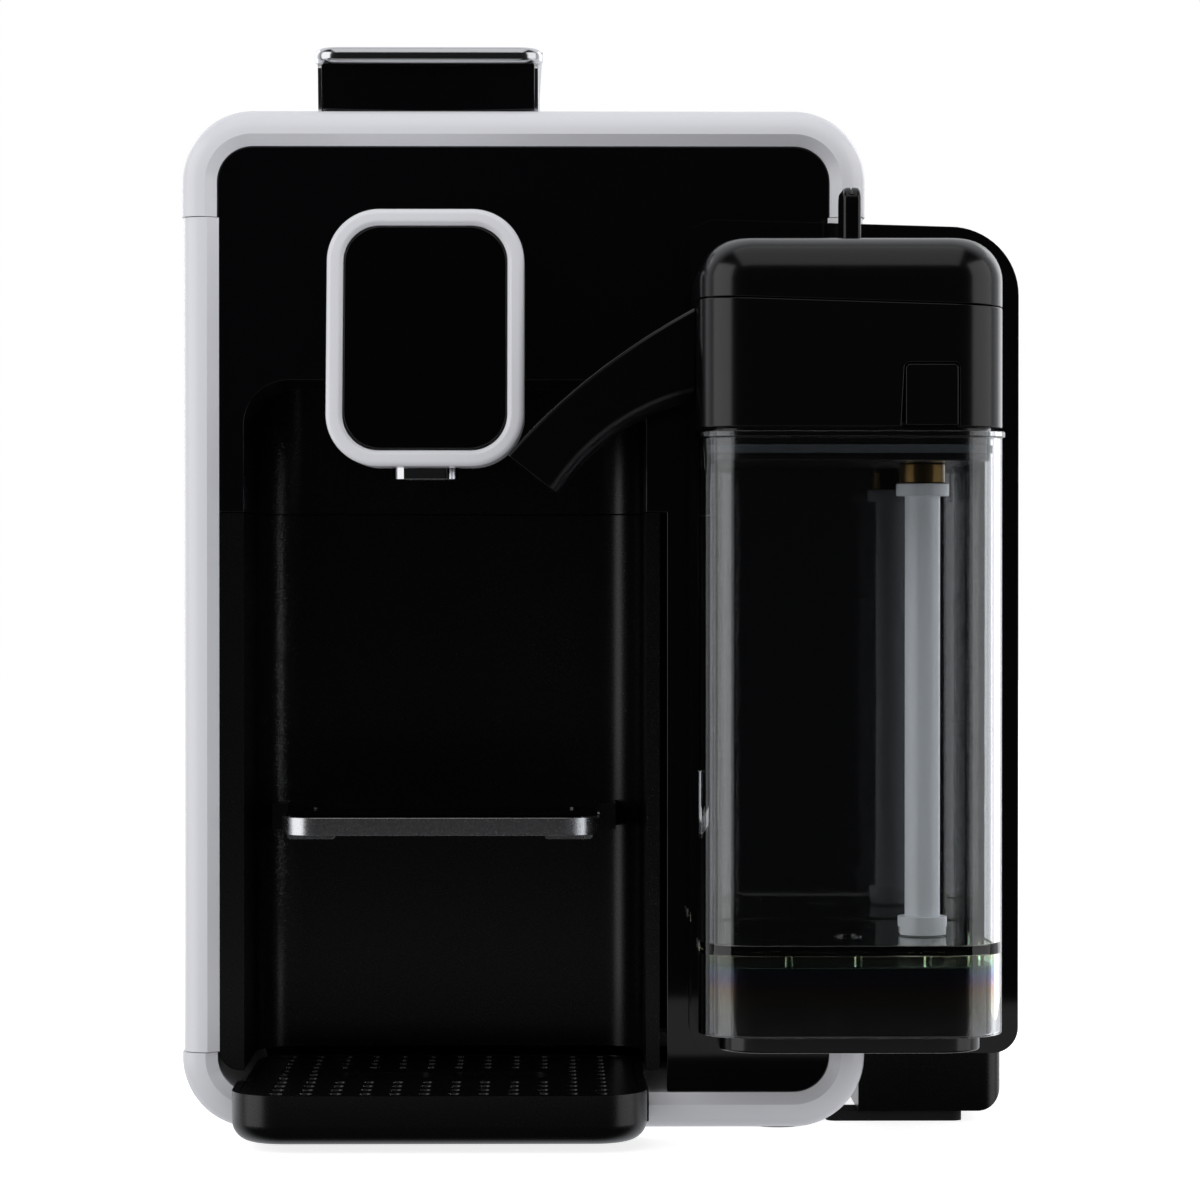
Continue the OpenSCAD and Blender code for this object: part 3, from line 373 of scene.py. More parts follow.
bottom_piece = twin(whole_frame, "frame_bottom")
keep_beyond(bottom_piece, (0, 0, seam_low - seam), (0, 0, -1))
tray_low, tray_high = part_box("drip_tray")
cut(bottom_piece, block("cutter", (tray_low.x - 1 * mm, front - 5 * mm, 4.6 * mm),
    (tray_high.x + 1 * mm, tray_high.y + 2 * mm, 40 * mm)))
settle(bottom_piece, white_abs, "bottom_band")

vent_count = 6
vent_pitch = 7 * mm
for side, node in ((-1, "left_side_panel"), (1, "right_side_panel")):
    strip = twin(whole_frame, "frame_" + node.split("_")[0])
    keep_beyond(strip, (0, 0, seam_low + seam), (0, 0, 1))
    keep_beyond(strip, (0, 0, seam_top - seam), (0, 0, -1))
    keep_beyond(strip, (body_middle.x, 0, 0), (side, 0, 0))
    open_mesh(strip)
    bpy.ops.mesh.select_all(action="SELECT")
    bpy.ops.transform.translate(value=(-side * strip_inset, 0, 0))
    close_mesh()
    edge = body_low.x if side < 0 else body_high.x
    for i in range(vent_count):
        vent_y = body_high.y - 20 * mm - i * vent_pitch
        cut(strip, block("cutter", (edge - 6 * mm, vent_y, seam_top - 60 * mm),
            (edge + 6 * mm, vent_y + 3 * mm, seam_top - 20 * mm)))
    settle(strip, white_abs, node)
bpy.data.objects.remove(whole_frame)


# ---- Front panel, niche and rear cover ----
# The panel is a polished black polycarbonate plate. The niche and the drawer's wall below it are
# satin black ABS with a fine spark-eroded grain, and the rear cover has a coarser one.
def merged(node):
    """A copy of a CAD piece with its loose triangles merged into whole faces."""
    piece = twin(frame["nodes"][node], node + "_moulding")
    piece.parent = None
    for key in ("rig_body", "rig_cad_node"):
        del piece[key]
    open_mesh(piece)
    bpy.ops.mesh.select_all(action="SELECT")
    bpy.ops.mesh.remove_doubles(threshold=0.004 * mm)
    bpy.ops.mesh.dissolve_limited(angle_limit=math.radians(1))
    close_mesh()
    return piece


def soften(piece, radius, steps=3, sharper_than=32):
    """Rounds every sharp edge of a piece."""
    choose(piece)
    edges = piece.modifiers.new("edges", "BEVEL")
    edges.width = radius
    edges.segments = steps
    edges.limit_method = "ANGLE"
    edges.angle_limit = math.radians(sharper_than)
    bpy.ops.object.modifier_apply(modifier=edges.name)


def dress(node, finish, radius, steps=3):
    """A CAD piece in its own material, with its edges rounded."""
    piece = merged(node)
    soften(piece, radius, steps)
    settle(piece, finish, node)


black_pc = new_material("polished_black_polycarbonate", "060608", 0.05, IOR=1.58)
grain(black_pc, 40 * mm, 0.004 * mm, 0.02)
black_abs = new_material("satin_black_abs", "0a0a0c", 0.28, IOR=1.53)
grain(black_abs, 0.5 * mm, 0.004 * mm, 0.04)
coarse_abs = new_material("grained_black_abs", "131317", 0.5, IOR=1.53)
grain(coarse_abs, 0.9 * mm, 0.02 * mm, 0.05)

dress("front_panel", black_pc, 0.3 * mm)
dress("niche_upper", black_abs, 0.5 * mm)
rear = merged("rear_cover")
soften(rear, 0.5 * mm)
# dust gauze in the air slots
cut(rear, block("gauze", (body_low.x + 11 * mm, body_high.y - 2.6 * mm, 147 * mm),
    (body_low.x + 31 * mm, body_high.y - 1.8 * mm, 216 * mm)), "UNION")
settle(rear, coarse_abs, "rear_cover")
dress("base_plate", coarse_abs, 0.4 * mm)
dress("lever_bracket", black_abs, 0.4 * mm)
dress("mains_inlet", coarse_abs, 0.5 * mm)
dress("power_switch", black_abs, 0.4 * mm)


# ---- Drawer ----
# One satin black ABS moulding: two front posts with a concave niche wall between them, and a
# carrier behind it for the used-pod bin. Its edges are rounded, which leaves fine bright lines.
niche_low, niche_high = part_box("niche_upper")
niche_side = 5 * mm
niche_x0, niche_x1 = niche_low.x + niche_side, niche_high.x - niche_side
niche_depth = niche_high.y - 3 * mm
niche_corner = 14 * mm
drawer_low, drawer_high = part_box("pod_drawer")
drawer_front = drawer_low.y
wall_back = niche_high.y
drawer = rounded_block("drawer", (drawer_low.x, drawer_front, drawer_low.z),
    (drawer_high.x, wall_back, drawer_high.z), 1, (6 * mm, 1 * mm, 0, 0), 8)
cut(drawer, rounded_block("cutter", (niche_x0, drawer_front - 20 * mm, 0),
    (niche_x1, niche_depth, drawer_high.z + 20 * mm), 2, (0, 0, niche_corner, niche_corner), 32))
carrier_wall = 2.4 * mm
rail_height = 24 * mm
carrier_low = Vector((drawer_low.x + 2 * mm, wall_back - 1 * mm, drawer_low.z))
carrier_high = Vector((drawer_high.x - 2 * mm, drawer_high.y, drawer_low.z + carrier_wall))
cut(drawer, block("floor", carrier_low, carrier_high), "UNION")
for x in (carrier_low.x, carrier_high.x - carrier_wall):
    cut(drawer, block("rail", (x, carrier_low.y, carrier_low.z),
        (x + carrier_wall, carrier_high.y, carrier_low.z + rail_height)), "UNION")
pin_low, pin_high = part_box("shelf_pin")
lug_wall = 2.5 * mm
lug_width = 5 * mm
for x in (pin_low.x - 0.5 * mm, pin_high.x - lug_width + 0.5 * mm):
    cut(drawer, block("lug", (x, pin_low.y - lug_wall, pin_low.z - lug_wall),
        (x + lug_width, wall_back - 1 * mm, pin_high.z + lug_wall)), "UNION")
soften(drawer, 0.6 * mm)
settle(drawer, black_abs, "pod_drawer")


# ---- Coffee head ----
# A white ABS ring leans out of the panel round a polished black display, and a short chrome-plated
# spout comes out below it.
ring_low, ring_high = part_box("head_ring")
ring_corner = 15.5 * mm
ring_wall = 5 * mm
ring_edge = 1.7 * mm
window_step = 1.2 * mm
lean = math.atan2(12, 76.6)
ring_face = Vector(((ring_low.x + ring_high.x) / 2, ring_low.y, ring_low.z))
face_out = Vector((0, -math.cos(lean), math.sin(lean)))


def leaning_block(name, margin, recess, radius):
    """A rounded block inside the ring's outline, cut off along the head's leaning face."""
    piece = rounded_block(name, (ring_low.x + margin, ring_low.y - 5 * mm, ring_low.z + margin),
        (ring_high.x - margin, ring_high.y, ring_high.z - margin), 1, (radius,) * 4, 16)
    keep_beyond(piece, ring_face - face_out * recess, -face_out)
    return piece


ring = leaning_block("head_ring_shell", 0, 0, ring_corner)
open_mesh(ring)
pick("FACE", lambda middle, way: way.dot(face_out) > 0.99)
bpy.ops.mesh.region_to_loop()
bpy.ops.mesh.bevel(offset=ring_edge, segments=6, affect="EDGES")
pick("FACE", lambda middle, way: way.dot(face_out) > 0.999)
bpy.ops.mesh.inset(thickness=ring_wall - ring_edge - window_step)
bpy.ops.mesh.inset(thickness=window_step, depth=-window_step)
push_out((0, 8 * mm, 0))
close_mesh()
soften(ring, 0.4 * mm, 3)
spout_low, spout_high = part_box("coffee_spout")
spout_end = (spout_high.y - spout_low.y) / 2 - 0.05 * mm
cut(ring, rounded_block("cutter", spout_low - Vector((0.3 * mm, 0.3 * mm, 0)),
    spout_high + Vector((0.3 * mm, 0.3 * mm, 2 * mm)), 2, (spout_end,) * 4, 8))
settle(ring, white_abs, "head_ring")
dress("head_shell", black_abs, 0.4 * mm)

black_glass = new_material("polished_black_acrylic", "040405", 0.03, IOR=1.49)
grain(black_glass, 30 * mm, 0.003 * mm, 0.015)
display = leaning_block("display_window", ring_wall + 0.15 * mm, 0.9 * mm, ring_corner - 4.4 * mm)
keep_beyond(display, (0, ring_low.y + 22 * mm, 0), (0, -1, 0))
soften(display, 0.5 * mm, 3)
settle(display, black_glass, "display_glass")

# chrome-plated ABS: a mirror with the moulding's faint waviness
chrome = new_material("chrome_plated_abs", "d8d9dc", 0.06, Metallic=1.0)
grain(chrome, 12 * mm, 0.01 * mm, 0.02)
spout = rounded_block("spout_sleeve", spout_low, spout_high, 2, (spout_end,) * 4, 12)
open_mesh(spout)
pick("FACE", lambda middle, way: way.z < -0.99)
bpy.ops.mesh.inset(thickness=1.2 * mm)
push_out((0, 0, 3 * mm))
close_mesh()
soften(spout, 0.4 * mm)
settle(spout, chrome, "coffee_spout")


# ---- Lever ----
# A chrome-plated casing with a full-round lip, over a scooped black handle moulding. It turns on a
# steel pin between the bracket's ears, and its crank pushes the brewing unit's carriage.
lever_low, lever_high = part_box("lever_frame")
lip = 5.2 * mm
lip_depth = 12 * mm
lip_end = 8 * mm
lip_round = 2.4 * mm
side_step = 1.4 * mm
satin_chrome = new_material("satin_chrome_plated_abs", "dcdde0", 0.17, Metallic=1.0)
grain(satin_chrome, 9 * mm, 0.01 * mm, 0.02)
lever_x = (lever_low.x + lever_high.x) / 2
lever_half = (lever_high.x - lever_low.x) / 2
lever_plate = merged("lever_frame")
# below the lip the sides step in
open_mesh(lever_plate)
bpy.ops.mesh.select_all(action="SELECT")
bpy.ops.mesh.bisect(plane_co=(0, 0, lever_high.z - lip), plane_no=(0, 0, 1))
for side in (-1, 1):
    pick("VERT", lambda middle, way: side * (middle.x - lever_x) > lever_half - 0.1 * mm
        and middle.z < lever_high.z - lip + 0.01 * mm)
    bpy.ops.transform.translate(value=(-side * side_step, 0, 0))
close_mesh()
soften(lever_plate, 0.4 * mm, 3)
cut(lever_plate, block("cutter", (lever_low.x - 1 * mm, lever_low.y - 1 * mm, lever_high.z - lip),
    (lever_high.x + 1 * mm, lever_low.y + lip_depth - 0.2 * mm, lever_high.z + 1 * mm)))
lip_bar = rounded_block("lip_bar", (lever_low.x, lever_low.y - 0.2 * mm, lever_high.z - lip),
    (lever_high.x, lever_low.y + lip_depth, lever_high.z), 2, (lip_end, lip_end, 0, 0), 12)
open_mesh(lip_bar)
pick("EDGE", lambda middle, way: abs(way.z) < 0.1
    and middle.y < lever_low.y + lip_depth - 0.1 * mm)
bpy.ops.mesh.bevel(offset=lip_round, segments=8, affect="EDGES")
close_mesh()
choose(lever_plate)
lip_bar.select_set(True)
bpy.ops.object.join()
lever_plate.name = "lever_casing"
settle(lever_plate, satin_chrome, "lever_frame")

handle_low, handle_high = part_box("lever_insert")
scoop_radius = 110 * mm
scoop_depth = 4.5 * mm
handle = block("lever_handle", (handle_low.x, handle_low.y, handle_low.z),
    (handle_high.x, handle_low.y + 9 * mm, lever_high.z - lip + 0.4 * mm))
bpy.ops.object.select_all(action="DESELECT")
bpy.ops.mesh.primitive_cylinder_add(vertices=256, radius=scoop_radius, depth=60 * mm,
    location=(lever_x, handle_low.y + scoop_depth - scoop_radius, handle_low.z))
cut(handle, place_here("cutter"))
soften(handle, 0.4 * mm, 2)
settle(handle, black_pc, "lever_insert")


# ---- Cup shelf ----
# A polished black ABS flap with two drain slots and a row of shallow dimples, and a satin anodised
# aluminium strip along its front. It folds up on a steel pin through the drawer's lugs.
shelf_low, shelf_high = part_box("cup_shelf")
trim_low, trim_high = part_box("shelf_trim")
shelf_corner = 11 * mm
strip = 3 * mm
shelf = rounded_block("shelf_flap", (shelf_low.x, trim_low.y + shelf_corner, trim_low.z),
    (shelf_high.x, shelf_high.y, shelf_high.z), 0, (0, 2.6 * mm, 2.6 * mm, 0), 6)
cut(shelf, rounded_block("front", (shelf_low.x + strip, trim_low.y + strip, trim_low.z),
    (shelf_high.x - strip, trim_low.y + 24 * mm, shelf_high.z), 2,
    (shelf_corner - strip, shelf_corner - strip, 0, 0), 12), "UNION")
# a low rim runs round the top
cut(shelf, rounded_block("cutter",
    (shelf_low.x + 4.5 * mm, trim_low.y + 4 * mm, shelf_high.z - 0.5 * mm),
    (shelf_high.x - 4.5 * mm, shelf_high.y - 5 * mm, shelf_high.z + 2 * mm), 2, (6 * mm,) * 4, 10))
shelf_x = (shelf_low.x + shelf_high.x) / 2
for side in (-1, 1):
    inner, outer = sorted((shelf_x + side * 2.5 * mm, shelf_x + side * 31 * mm))
    cut(shelf, rounded_block("cutter", (inner, trim_low.y + 7 * mm, trim_low.z - 1 * mm),
        (outer, trim_low.y + 14 * mm, trim_high.z + 1 * mm), 2, (3 * mm,) * 4, 8))
    inner, outer = sorted((shelf_x + side * 31.5 * mm, shelf_x + side * 46 * mm))
    cut(shelf, rounded_block("lug", (inner, trim_high.y, shelf_low.z),
        (outer, trim_high.y + 6 * mm, trim_low.z + 1 * mm), 1, (1 * mm, 1 * mm, 0, 0), 4), "UNION")
dimple_pitch = 8.4 * mm
dimple_count = 8
bpy.ops.object.select_all(action="DESELECT")
bpy.ops.mesh.primitive_uv_sphere_add(segments=16, ring_count=8, radius=2.4 * mm,
    location=(shelf_x - (dimple_count - 1) / 2 * dimple_pitch,
    (shelf_low.y + shelf_high.y) / 2 + 4 * mm, shelf_high.z + 1.2 * mm))
dimples = place_here("dimples")
row = dimples.modifiers.new("row", "ARRAY")
row.count = dimple_count
row.use_relative_offset = False
row.use_constant_offset = True
row.constant_offset_displace = (dimple_pitch, 0, 0)
choose(dimples)
bpy.ops.object.modifier_apply(modifier=row.name)
cut(shelf, dimples)
soften(shelf, 0.4 * mm)
settle(shelf, black_pc, "cup_shelf")

# anodised aluminium, brushed along its length
satin_aluminium = new_material("satin_anodised_aluminium", "dcdde0", 0.26, Metallic=1.0)
grain(satin_aluminium, 0.8 * mm, 0.006 * mm, 0.05)
trim = rounded_block("shelf_strip", trim_low,
    (trim_high.x, trim_low.y + shelf_corner, trim_high.z), 2,
    (shelf_corner, shelf_corner, 0, 0), 14)
cut(trim, rounded_block("cutter", (trim_low.x + strip - 0.2 * mm, trim_low.y + strip - 0.2 * mm, 0),
    (trim_high.x - strip + 0.2 * mm, trim_low.y + 40 * mm, 1), 2,
    (shelf_corner - strip, shelf_corner - strip, 0, 0), 14))
soften(trim, 0.5 * mm, 4, 60)
settle(trim, satin_aluminium, "shelf_trim")
shelf.data.materials.append(satin_aluminium)
for face in shelf.data.polygons:
    if face.center.z < trim_low.z - 0.05 * mm:
        face.material_index = 1


# ---- Drip tray and grid ----
# The tray is one satin black ABS tub with a deep rounded front. The grid lies inside its rim, and
# is moulded with rows of small drain cups and two long slots.
tray_front_back = front - 1 * mm
tray_corner = 16 * mm
tray_wall = 2.4 * mm
sill = 5.2 * mm


def tray_shape(name, inset, z0, z1, under=0):
    """The tray's plan as a solid: wide in front of the body, and as wide as the niche inside it."""
    radius = tray_corner - inset
    piece = rounded_block(name, (tray_low.x + inset, tray_low.y + inset, z0),
        (tray_high.x - inset, tray_front_back - inset, z1), 2, (radius, radius, 0, 0), 12)
    if under:
        open_mesh(piece)
        pick("EDGE", lambda middle, way: near(middle.z, z0)
            and middle.y < tray_front_back - 0.1 * mm)
        bpy.ops.mesh.bevel(offset=under, segments=8, affect="EDGES")
        close_mesh()
    side, radius = 0.6 * mm + inset, niche_corner - 0.6 * mm - inset
    cut(piece, rounded_block("rear", (niche_x0 + side, front - 6 * mm, max(z0, sill)),
        (niche_x1 - side, niche_depth - side, z1), 2, (0, 0, radius, radius), 20), "UNION")
    return piece


tray = tray_shape("drip_tub", 0, tray_low.z, tray_high.z, 6 * mm)
cut(tray, tray_shape("cutter", tray_wall, sill + 2 * mm, tray_high.z + 5 * mm))
soften(tray, 0.5 * mm, 3, 50)
settle(tray, black_abs, "drip_tray")

grid_low, grid_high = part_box("drip_grid")
cup_columns, cup_rows, cup_pitch = 12, 11, 8.7 * mm
cup_top, cup_bottom = 2.1 * mm, 1.1 * mm
first_row = tray_low.y + 6.6 * mm
grid_x = (tray_low.x + tray_high.x) / 2
grid_depth = 2.2 * mm
grid_plate = tray_shape("drip_grille", tray_wall + 0.3 * mm, grid_low.z, grid_high.z)
bpy.ops.object.select_all(action="DESELECT")
bpy.ops.mesh.primitive_cone_add(vertices=14, radius1=cup_bottom, radius2=cup_top, depth=grid_depth,
    location=(grid_x - (cup_columns - 1) / 2 * cup_pitch, first_row,
    grid_high.z - grid_depth / 2 + 0.05 * mm))
cups = place_here("cups")
for count, way in ((cup_columns, 0), (cup_rows, 1)):
    rows = cups.modifiers.new("rows", "ARRAY")
    rows.count = count
    rows.use_relative_offset = False
    rows.use_constant_offset = True
    rows.constant_offset_displace = [cup_pitch if axis == way else 0 for axis in range(3)]
    bpy.ops.object.modifier_apply(modifier=rows.name)
# no cups where the two long slots are
open_mesh(cups)
pick("VERT", lambda middle, way: abs(middle.x - grid_x) < 4 * cup_pitch
    and abs(middle.y - first_row - 5 * cup_pitch) < 1.5 * cup_pitch)
bpy.ops.mesh.delete(type="VERT")
close_mesh()
cut(grid_plate, cups)
slot_middle = 17.4 * mm
slot_half = 14.6 * mm
for side in (-1, 1):
    middle_x = grid_x + side * slot_middle
    cut(grid_plate, rounded_block("cutter", (middle_x - slot_half, first_row + 4.2 * cup_pitch, 0),
        (middle_x + slot_half, first_row + 5.8 * cup_pitch, 30 * mm), 2, (5 * mm,) * 4, 8))
settle(grid_plate, black_abs, "drip_grid", smooth=50)


# ---- Milk dock and side housing ----
# A polished black plate on the machine's right takes the milk unit. Behind it a satin housing holds
# the steam boiler.
dress("milk_dock", black_pc, 1.0 * mm, 4)
dress("side_housing", black_abs, 1.2 * mm, 4)


# ---- Milk head ----
# Polished black ABS: a body with a plug that closes the jug, a domed cap on a slanting joint line,
# a curved arm that pours into the cup, a froth knob and a sprung latch button.
black_gloss_abs = new_material("polished_black_abs", "060608", 0.2, IOR=1.5)
grain(black_gloss_abs, 6 * mm, 0.008 * mm, 0.03)
head_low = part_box("milk_head_body")[0]
cap_low, cap_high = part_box("milk_head_cap")
unit_corner = 16 * mm
slant = math.atan2(2.6, 85)
joint_point = Vector(((cap_low.x + cap_high.x) / 2, 0, cap_low.z - 0.1 * mm))
joint_up = Vector((math.sin(slant), 0, math.cos(slant)))
dome = 12 * mm

cap = rounded_block("head_cap", (cap_low.x, cap_low.y, cap_low.z - 6 * mm), cap_high, 2,
    (unit_corner,) * 4, 16)
keep_beyond(cap, joint_point + joint_up * 0.12 * mm, joint_up)
open_mesh(cap)
pick("FACE", lambda middle, way: way.z > 0.99 and near(middle.z, cap_high.z))
bpy.ops.mesh.region_to_loop()
bpy.ops.mesh.bevel(offset=dome, segments=12, affect="EDGES")
pick("FACE", lambda middle, way: way.dot(joint_up) < -0.99)
bpy.ops.mesh.inset(thickness=2.6 * mm)
push_out((0, 0, 4 * mm))
close_mesh()
soften(cap, 0.3 * mm)
settle(cap, black_gloss_abs, "milk_head_cap")

jug_low, jug_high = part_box("milk_jug")
head_base = jug_high.z + 1 * mm
plug_inset = 3.2 * mm
head_body = rounded_block("head_body", (cap_low.x, cap_low.y, head_base),
    (cap_high.x, cap_high.y, cap_low.z + 6 * mm), 2, (unit_corner,) * 4, 16)
keep_beyond(head_body, joint_point - joint_up * 0.12 * mm, -joint_up)
button_low, button_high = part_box("latch_button")
pocket = 0.35 * mm
# the pocket widens downwards on its left
latch_pocket = rounded_block("cutter",
    (button_low.x - pocket, cap_low.y - 2 * mm, head_base - 1 * mm),
    (button_high.x + pocket, cap_low.y + 4.5 * mm, button_high.z + pocket), 1,
    (0, 0, 1.5 * mm, 1.5 * mm), 4)
open_mesh(latch_pocket)
pick("VERT", lambda middle, way: middle.z < head_base and middle.x < button_low.x)
bpy.ops.transform.translate(value=(-0.9 * mm, 0, 0))
close_mesh()
cut(head_body, latch_pocket)
plug = rounded_block("plug", (cap_low.x + plug_inset, cap_low.y + plug_inset, head_low.z),
    (cap_high.x - plug_inset, cap_high.y - plug_inset, head_base + 1 * mm), 2,
    (unit_corner - plug_inset,) * 4, 12)
cut(head_body, plug, "UNION")
soften(head_body, 0.4 * mm)
settle(head_body, black_gloss_abs, "milk_head_body")

button = rounded_block("latch_tab", button_low,
    (button_high.x, button_low.y + 3 * mm, button_high.z), 1,
    (0.4 * mm, 0.4 * mm, 1.2 * mm, 1.2 * mm), 4)
soften(button, 0.4 * mm)
settle(button, black_gloss_abs, "latch_button")

knob_low, knob_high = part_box("froth_knob")
knob_x = (knob_low.x + knob_high.x) / 2
knob_y = (knob_low.y + knob_high.y) / 2
fin_half = 2.6 * mm
disc_top = cap_high.z + 1.5 * mm
bpy.ops.object.select_all(action="DESELECT")
bpy.ops.mesh.primitive_cone_add(vertices=64, radius1=12 * mm, radius2=10.5 * mm, depth=1.2 * mm,
    location=(knob_x, knob_y, disc_top - 0.6 * mm))
knob = place_here("knob_grip")
fin = rounded_block("fin", (knob_x - fin_half, knob_y - 11 * mm, disc_top - 0.5 * mm),
    (knob_x + fin_half, knob_y + 11 * mm, knob_high.z), 0, (0, 0, 4 * mm, 4 * mm), 8)
open_mesh(fin)
pick("EDGE", lambda middle, way: near(abs(middle.x - knob_x), fin_half) and middle.z > disc_top)
bpy.ops.mesh.bevel(offset=1.4 * mm, segments=5, affect="EDGES")
close_mesh()
cut(fin, block("cutter", (knob_x - 0.35 * mm, knob_y - 12 * mm, knob_high.z - 2.4 * mm),
    (knob_x + 0.35 * mm, knob_y + 12 * mm, knob_high.z + 1 * mm)))
cut(knob, fin, "UNION")
soften(knob, 0.3 * mm, 2)
settle(knob, black_gloss_abs, "froth_knob")

arm = merged("milk_spout")
arm_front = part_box("milk_spout")[0].y
arm_root = Vector((27 * mm, 0, 232 * mm))
arm_mouth = Vector((-19.5 * mm, 0, 198 * mm))


def above_arm(point):
    """How far a point is above the arm's middle line."""
    share = (point.x - arm_mouth.x) / (arm_root.x - arm_mouth.x)
    return point.z - (arm_mouth.z + (arm_root.z - arm_mouth.z) * share)


open_mesh(arm)
pick("EDGE", lambda middle, way: near(middle.y, arm_front) and above_arm(middle) < -4 * mm
    and middle.x < 26.4 * mm)
bpy.ops.mesh.bevel(offset=5 * mm, segments=8, affect="EDGES")
pick("EDGE", lambda middle, way: near(middle.y, arm_front) and above_arm(middle) > 4 * mm
    and middle.x < 26.4 * mm)
bpy.ops.mesh.bevel(offset=1.3 * mm, segments=4, affect="EDGES")
close_mesh()
soften(arm, 0.3 * mm, 2)
settle(arm, black_gloss_abs, "milk_spout")


# ---- Milk jug ----
# Clear SAN from a polished mould: 2.5 mm walls, a turned-out rim, and a double bottom whose skirt
# holds a black base plug. A raised level line with a pointer stands on the front wall.
clear_san = new_material("clear_san", "fbfdff", 0.0, IOR=1.5, Transmission_Weight=1.0)
grain(clear_san, 25 * mm, 0.02 * mm)


def let_lamps_through(material, share):
    """Lets a share of the lamps' light through glass, which would otherwise cast a solid shadow."""
    tree = material.node_tree
    shader = tree.nodes["Principled BSDF"]
    ray = add_node(tree, "ShaderNodeLightPath")
    amount = add_node(tree, "ShaderNodeMath", [("operation", "MULTIPLY"), (1, share)],
        [(0, ray.outputs["Is Shadow Ray"])])
    clear = add_node(tree, "ShaderNodeBsdfTransparent")
    both = add_node(tree, "ShaderNodeMixShader", (), [(0, amount.outputs[0]),
        (1, shader.outputs[0]), (2, clear.outputs[0])])
    tree.links.new(both.outputs[0], tree.nodes["Material Output"].inputs["Surface"])


let_lamps_through(clear_san, 1.0)
# moulding stress tints the clear skirt round the base in pale bands
stress = clear_san.node_tree
where = add_node(stress, "ShaderNodeTexCoord")
height = add_node(stress, "ShaderNodeSeparateXYZ", (), [("Vector", where.outputs["Object"])])
spread = add_node(stress, "ShaderNodeMapRange", [("From Min", 43 * mm), ("From Max", 68 * mm)],
    [("Value", height.outputs["Z"])])
tints = add_node(stress, "ShaderNodeValToRGB", (), [(0, spread.outputs["Result"])])
ramp = tints.color_ramp
ramp.elements[0].color = srgb("fbfdff")
ramp.elements[1].color = srgb("fbfdff")
for place, tint in ((0.3, "faf7ea"), (0.45, "f7e3d3"), (0.55, "e4d7f3"), (0.64, "d3e2f8"),
        (0.74, "dff5e5"), (0.84, "f6f8dd")):
    ramp.elements.new(place).color = srgb(tint)
stress.links.new(tints.outputs["Color"], stress.nodes["Principled BSDF"].inputs["Base Color"])
jug_wall = 2.5 * mm
rim_out = (jug_high.x - jug_low.x - (cap_high.x - cap_low.x)) / 2
floor_z = 66.5 * mm
floor_wall = 2.5 * mm
jug = rounded_block("jug", (cap_low.x, cap_low.y, jug_low.z),
    (cap_high.x, cap_high.y, jug_high.z), 2, (unit_corner,) * 4, 16)
rim_height = 1.7 * mm
open_mesh(jug)
bpy.ops.mesh.select_all(action="SELECT")
bpy.ops.mesh.bisect(plane_co=(0, 0, jug_high.z - rim_height), plane_no=(0, 0, 1))
pick("FACE", lambda middle, way: middle.z > jug_high.z - rim_height and abs(way.z) < 0.1)
bpy.ops.mesh.extrude_region_shrink_fatten(TRANSFORM_OT_shrink_fatten={"value": rim_out})
pick("FACE", lambda middle, way: way.z > 0.99 and middle.z > jug_high.z - rim_height / 2)
bpy.ops.mesh.dissolve_faces()
bpy.ops.mesh.inset(thickness=jug_wall + rim_out)
push_out((0, 0, floor_z - jug_high.z))
pick("FACE", lambda middle, way: way.z < -0.99 and near(middle.z, jug_low.z))
bpy.ops.mesh.inset(thickness=jug_wall)
push_out((0, 0, floor_z - floor_wall - jug_low.z))
close_mesh()
soften(jug, 0.5 * mm, 3)
# small locating pegs hang from the floor, round the inside of the skirt
peg_inset = jug_wall + 1.6 * mm
peg_radius, peg_length = 1.1 * mm, 3.6 * mm
peg_places = [(x * mm, cap_low.y + peg_inset) for x in (51.7, 70.9, 90.1)]
for side_x in (cap_low.x + peg_inset, cap_high.x - peg_inset):
    peg_places += [(side_x, cap_low.y + depth * mm) for depth in (24, 48)]
for x, y in peg_places:
    bpy.ops.object.select_all(action="DESELECT")
    bpy.ops.mesh.primitive_cylinder_add(vertices=20, radius=peg_radius, depth=peg_length,
        location=(x, y, floor_z - 4.1 * mm))
    peg = place_here("peg")
    soften(peg, 0.5 * mm, 3)
    cut(jug, peg, "UNION")
# the level mark: a raised line with a pointer above it
mark_low = Vector((61 * mm, cap_low.y - 0.4 * mm, 191 * mm))
cut(jug, block("line", mark_low, mark_low + Vector((18 * mm, 0.8 * mm, 0.7 * mm))), "UNION")
bpy.ops.object.select_all(action="DESELECT")
bpy.ops.mesh.primitive_cylinder_add(vertices=3, radius=2.2 * mm, depth=0.8 * mm,
    location=(mark_low.x + 9 * mm, cap_low.y, mark_low.z + 3.4 * mm),
    rotation=(math.pi / 2, math.pi, 0))
cut(jug, place_here("pointer"), "UNION")
# a moulded catch on the left wall, and the gate mark in the floor
cut(jug, rounded_block("catch", (cap_low.x + jug_wall - 0.5 * mm, cap_low.y + 14 * mm, 100 * mm),
    (cap_low.x + jug_wall + 3 * mm, cap_low.y + 19 * mm, 115 * mm), 0, (1 * mm,) * 4, 4), "UNION")
bpy.ops.object.select_all(action="DESELECT")
bpy.ops.mesh.primitive_torus_add(major_radius=3.6 * mm, minor_radius=0.5 * mm, major_segments=40,
    minor_segments=10, location=(70 * mm, (cap_low.y + cap_high.y) / 2 - 12 * mm, floor_z))
cut(jug, place_here("gate"), "UNION")
settle(jug, clear_san, "milk_jug")

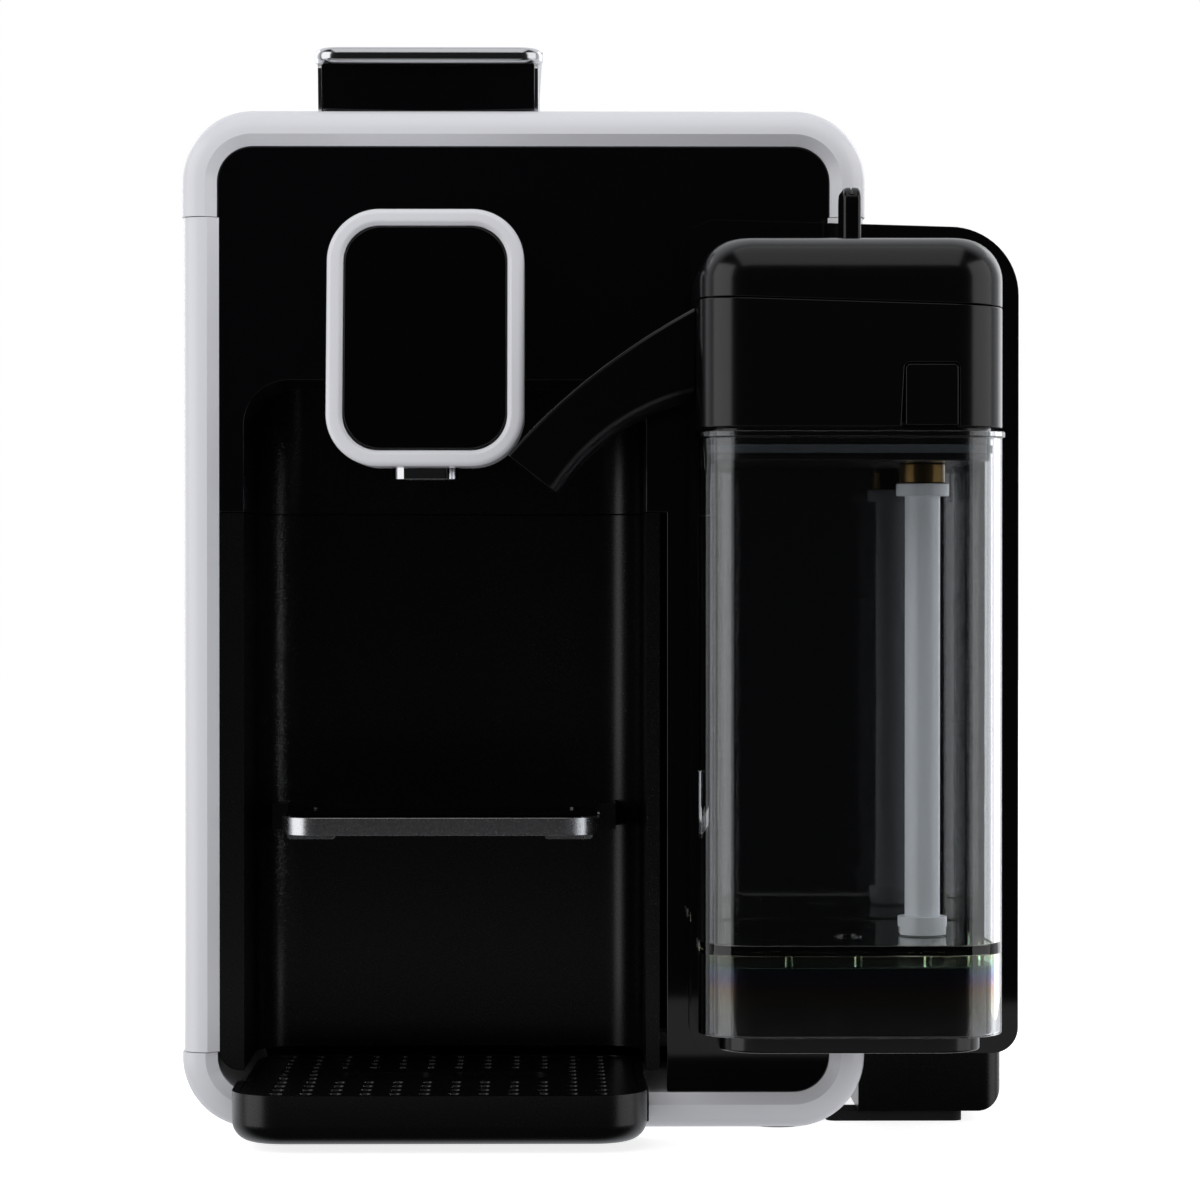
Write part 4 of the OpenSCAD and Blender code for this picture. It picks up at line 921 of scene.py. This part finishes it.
base_low, base_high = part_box("jug_base")
plug_gap = jug_wall + 0.3 * mm
foot_inset = 6 * mm
jug_foot = rounded_block("jug_foot",
    (cap_low.x + plug_gap, cap_low.y + plug_gap, jug_low.z + 0.2 * mm),
    (cap_high.x - plug_gap, cap_high.y - plug_gap, base_high.z), 2,
    (unit_corner - jug_wall,) * 4, 12)
cut(jug_foot, rounded_block("foot", (cap_low.x + foot_inset, cap_low.y + foot_inset, base_low.z),
    (cap_high.x - foot_inset, cap_high.y - foot_inset, jug_low.z + 1 * mm), 2,
    (12 * mm,) * 4, 12), "UNION")
soften(jug_foot, 0.6 * mm)
settle(jug_foot, black_gloss_abs, "jug_base")


# ---- Suction tube ----
# A milky silicone tube with a moulded collar and a notched foot hangs from a dark brass connector.
silicone = new_material("milky_silicone", "f2f6fa", 0.35, IOR=1.41, Transmission_Weight=0.1)
grain(silicone, 2 * mm, 0.01 * mm, 0.04)
brass = new_material("dark_brass", "5c4a2a", 0.3, Metallic=1.0)
grain(brass, 1 * mm, 0.01 * mm, 0.05)
seal_silicone = new_material("clear_silicone_seal", "aab4bc", 0.2, IOR=1.41,
    Transmission_Weight=0.9)
grain(seal_silicone, 2 * mm, 0.01 * mm, 0.04)
for node, finish in (("suction_tube", silicone), ("tube_foot", silicone),
        ("tube_connector", brass), ("jug_seal", seal_silicone)):
    dress(node, finish, 0.3 * mm, 2)


# ---- Water tank ----
# Smoky clear SAN with a hinged black lid, standing on the ledge behind the rear cover.
smoky_san = new_material("smoky_san", "8b93a0", 0.05, IOR=1.5, Transmission_Weight=0.9)
grain(smoky_san, 25 * mm, 0.02 * mm, 0.02)
let_lamps_through(smoky_san, 0.6)
dress("water_tank", smoky_san, 0.5 * mm, 2)
dress("tank_lid", black_abs, 0.5 * mm, 2)


# ---- Parts inside, and small parts ----
# What the casing hides keeps its plain shape and gets the finish of its real material.
steel = new_material("turned_stainless_steel", "b9babd", 0.28, Metallic=1.0)
grain(steel, 0.6 * mm, 0.004 * mm, 0.06)
cast_aluminium = new_material("cast_aluminium", "a9abae", 0.45, Metallic=1.0)
grain(cast_aluminium, 1.2 * mm, 0.05 * mm, 0.08)
rubber = new_material("moulded_rubber", "1b1b1c", 0.75, IOR=1.5)
grain(rubber, 0.8 * mm, 0.02 * mm, 0.05)
grey_nylon = new_material("glass_filled_nylon", "4a4c50", 0.5, IOR=1.53)
grain(grey_nylon, 0.7 * mm, 0.02 * mm, 0.06)
circuit_board = new_material("green_circuit_board", "0d4a2b", 0.35, IOR=1.5)
grain(circuit_board, 1.5 * mm, 0.03 * mm, 0.08)
for finish, nodes in (
        (steel, "lever_crank lever_pin shelf_pin steam_nozzle latch_spring tank_valve_spring"
            " case_screws steam_boiler"),
        (rubber, "rubber_feet pump_mounts"),
        (grey_nylon, "brew_frame injection_cage brew_carriage flow_meter tank_valve"
            " solenoid_valve pump pod_bin"),
        (cast_aluminium, "thermoblock"),
        (silicone, "hoses"),
        (circuit_board, "display_board control_board")):
    for node in nodes.split():
        mesh = frame["nodes"][node].data
        mesh.materials.clear()
        mesh.materials.append(finish)
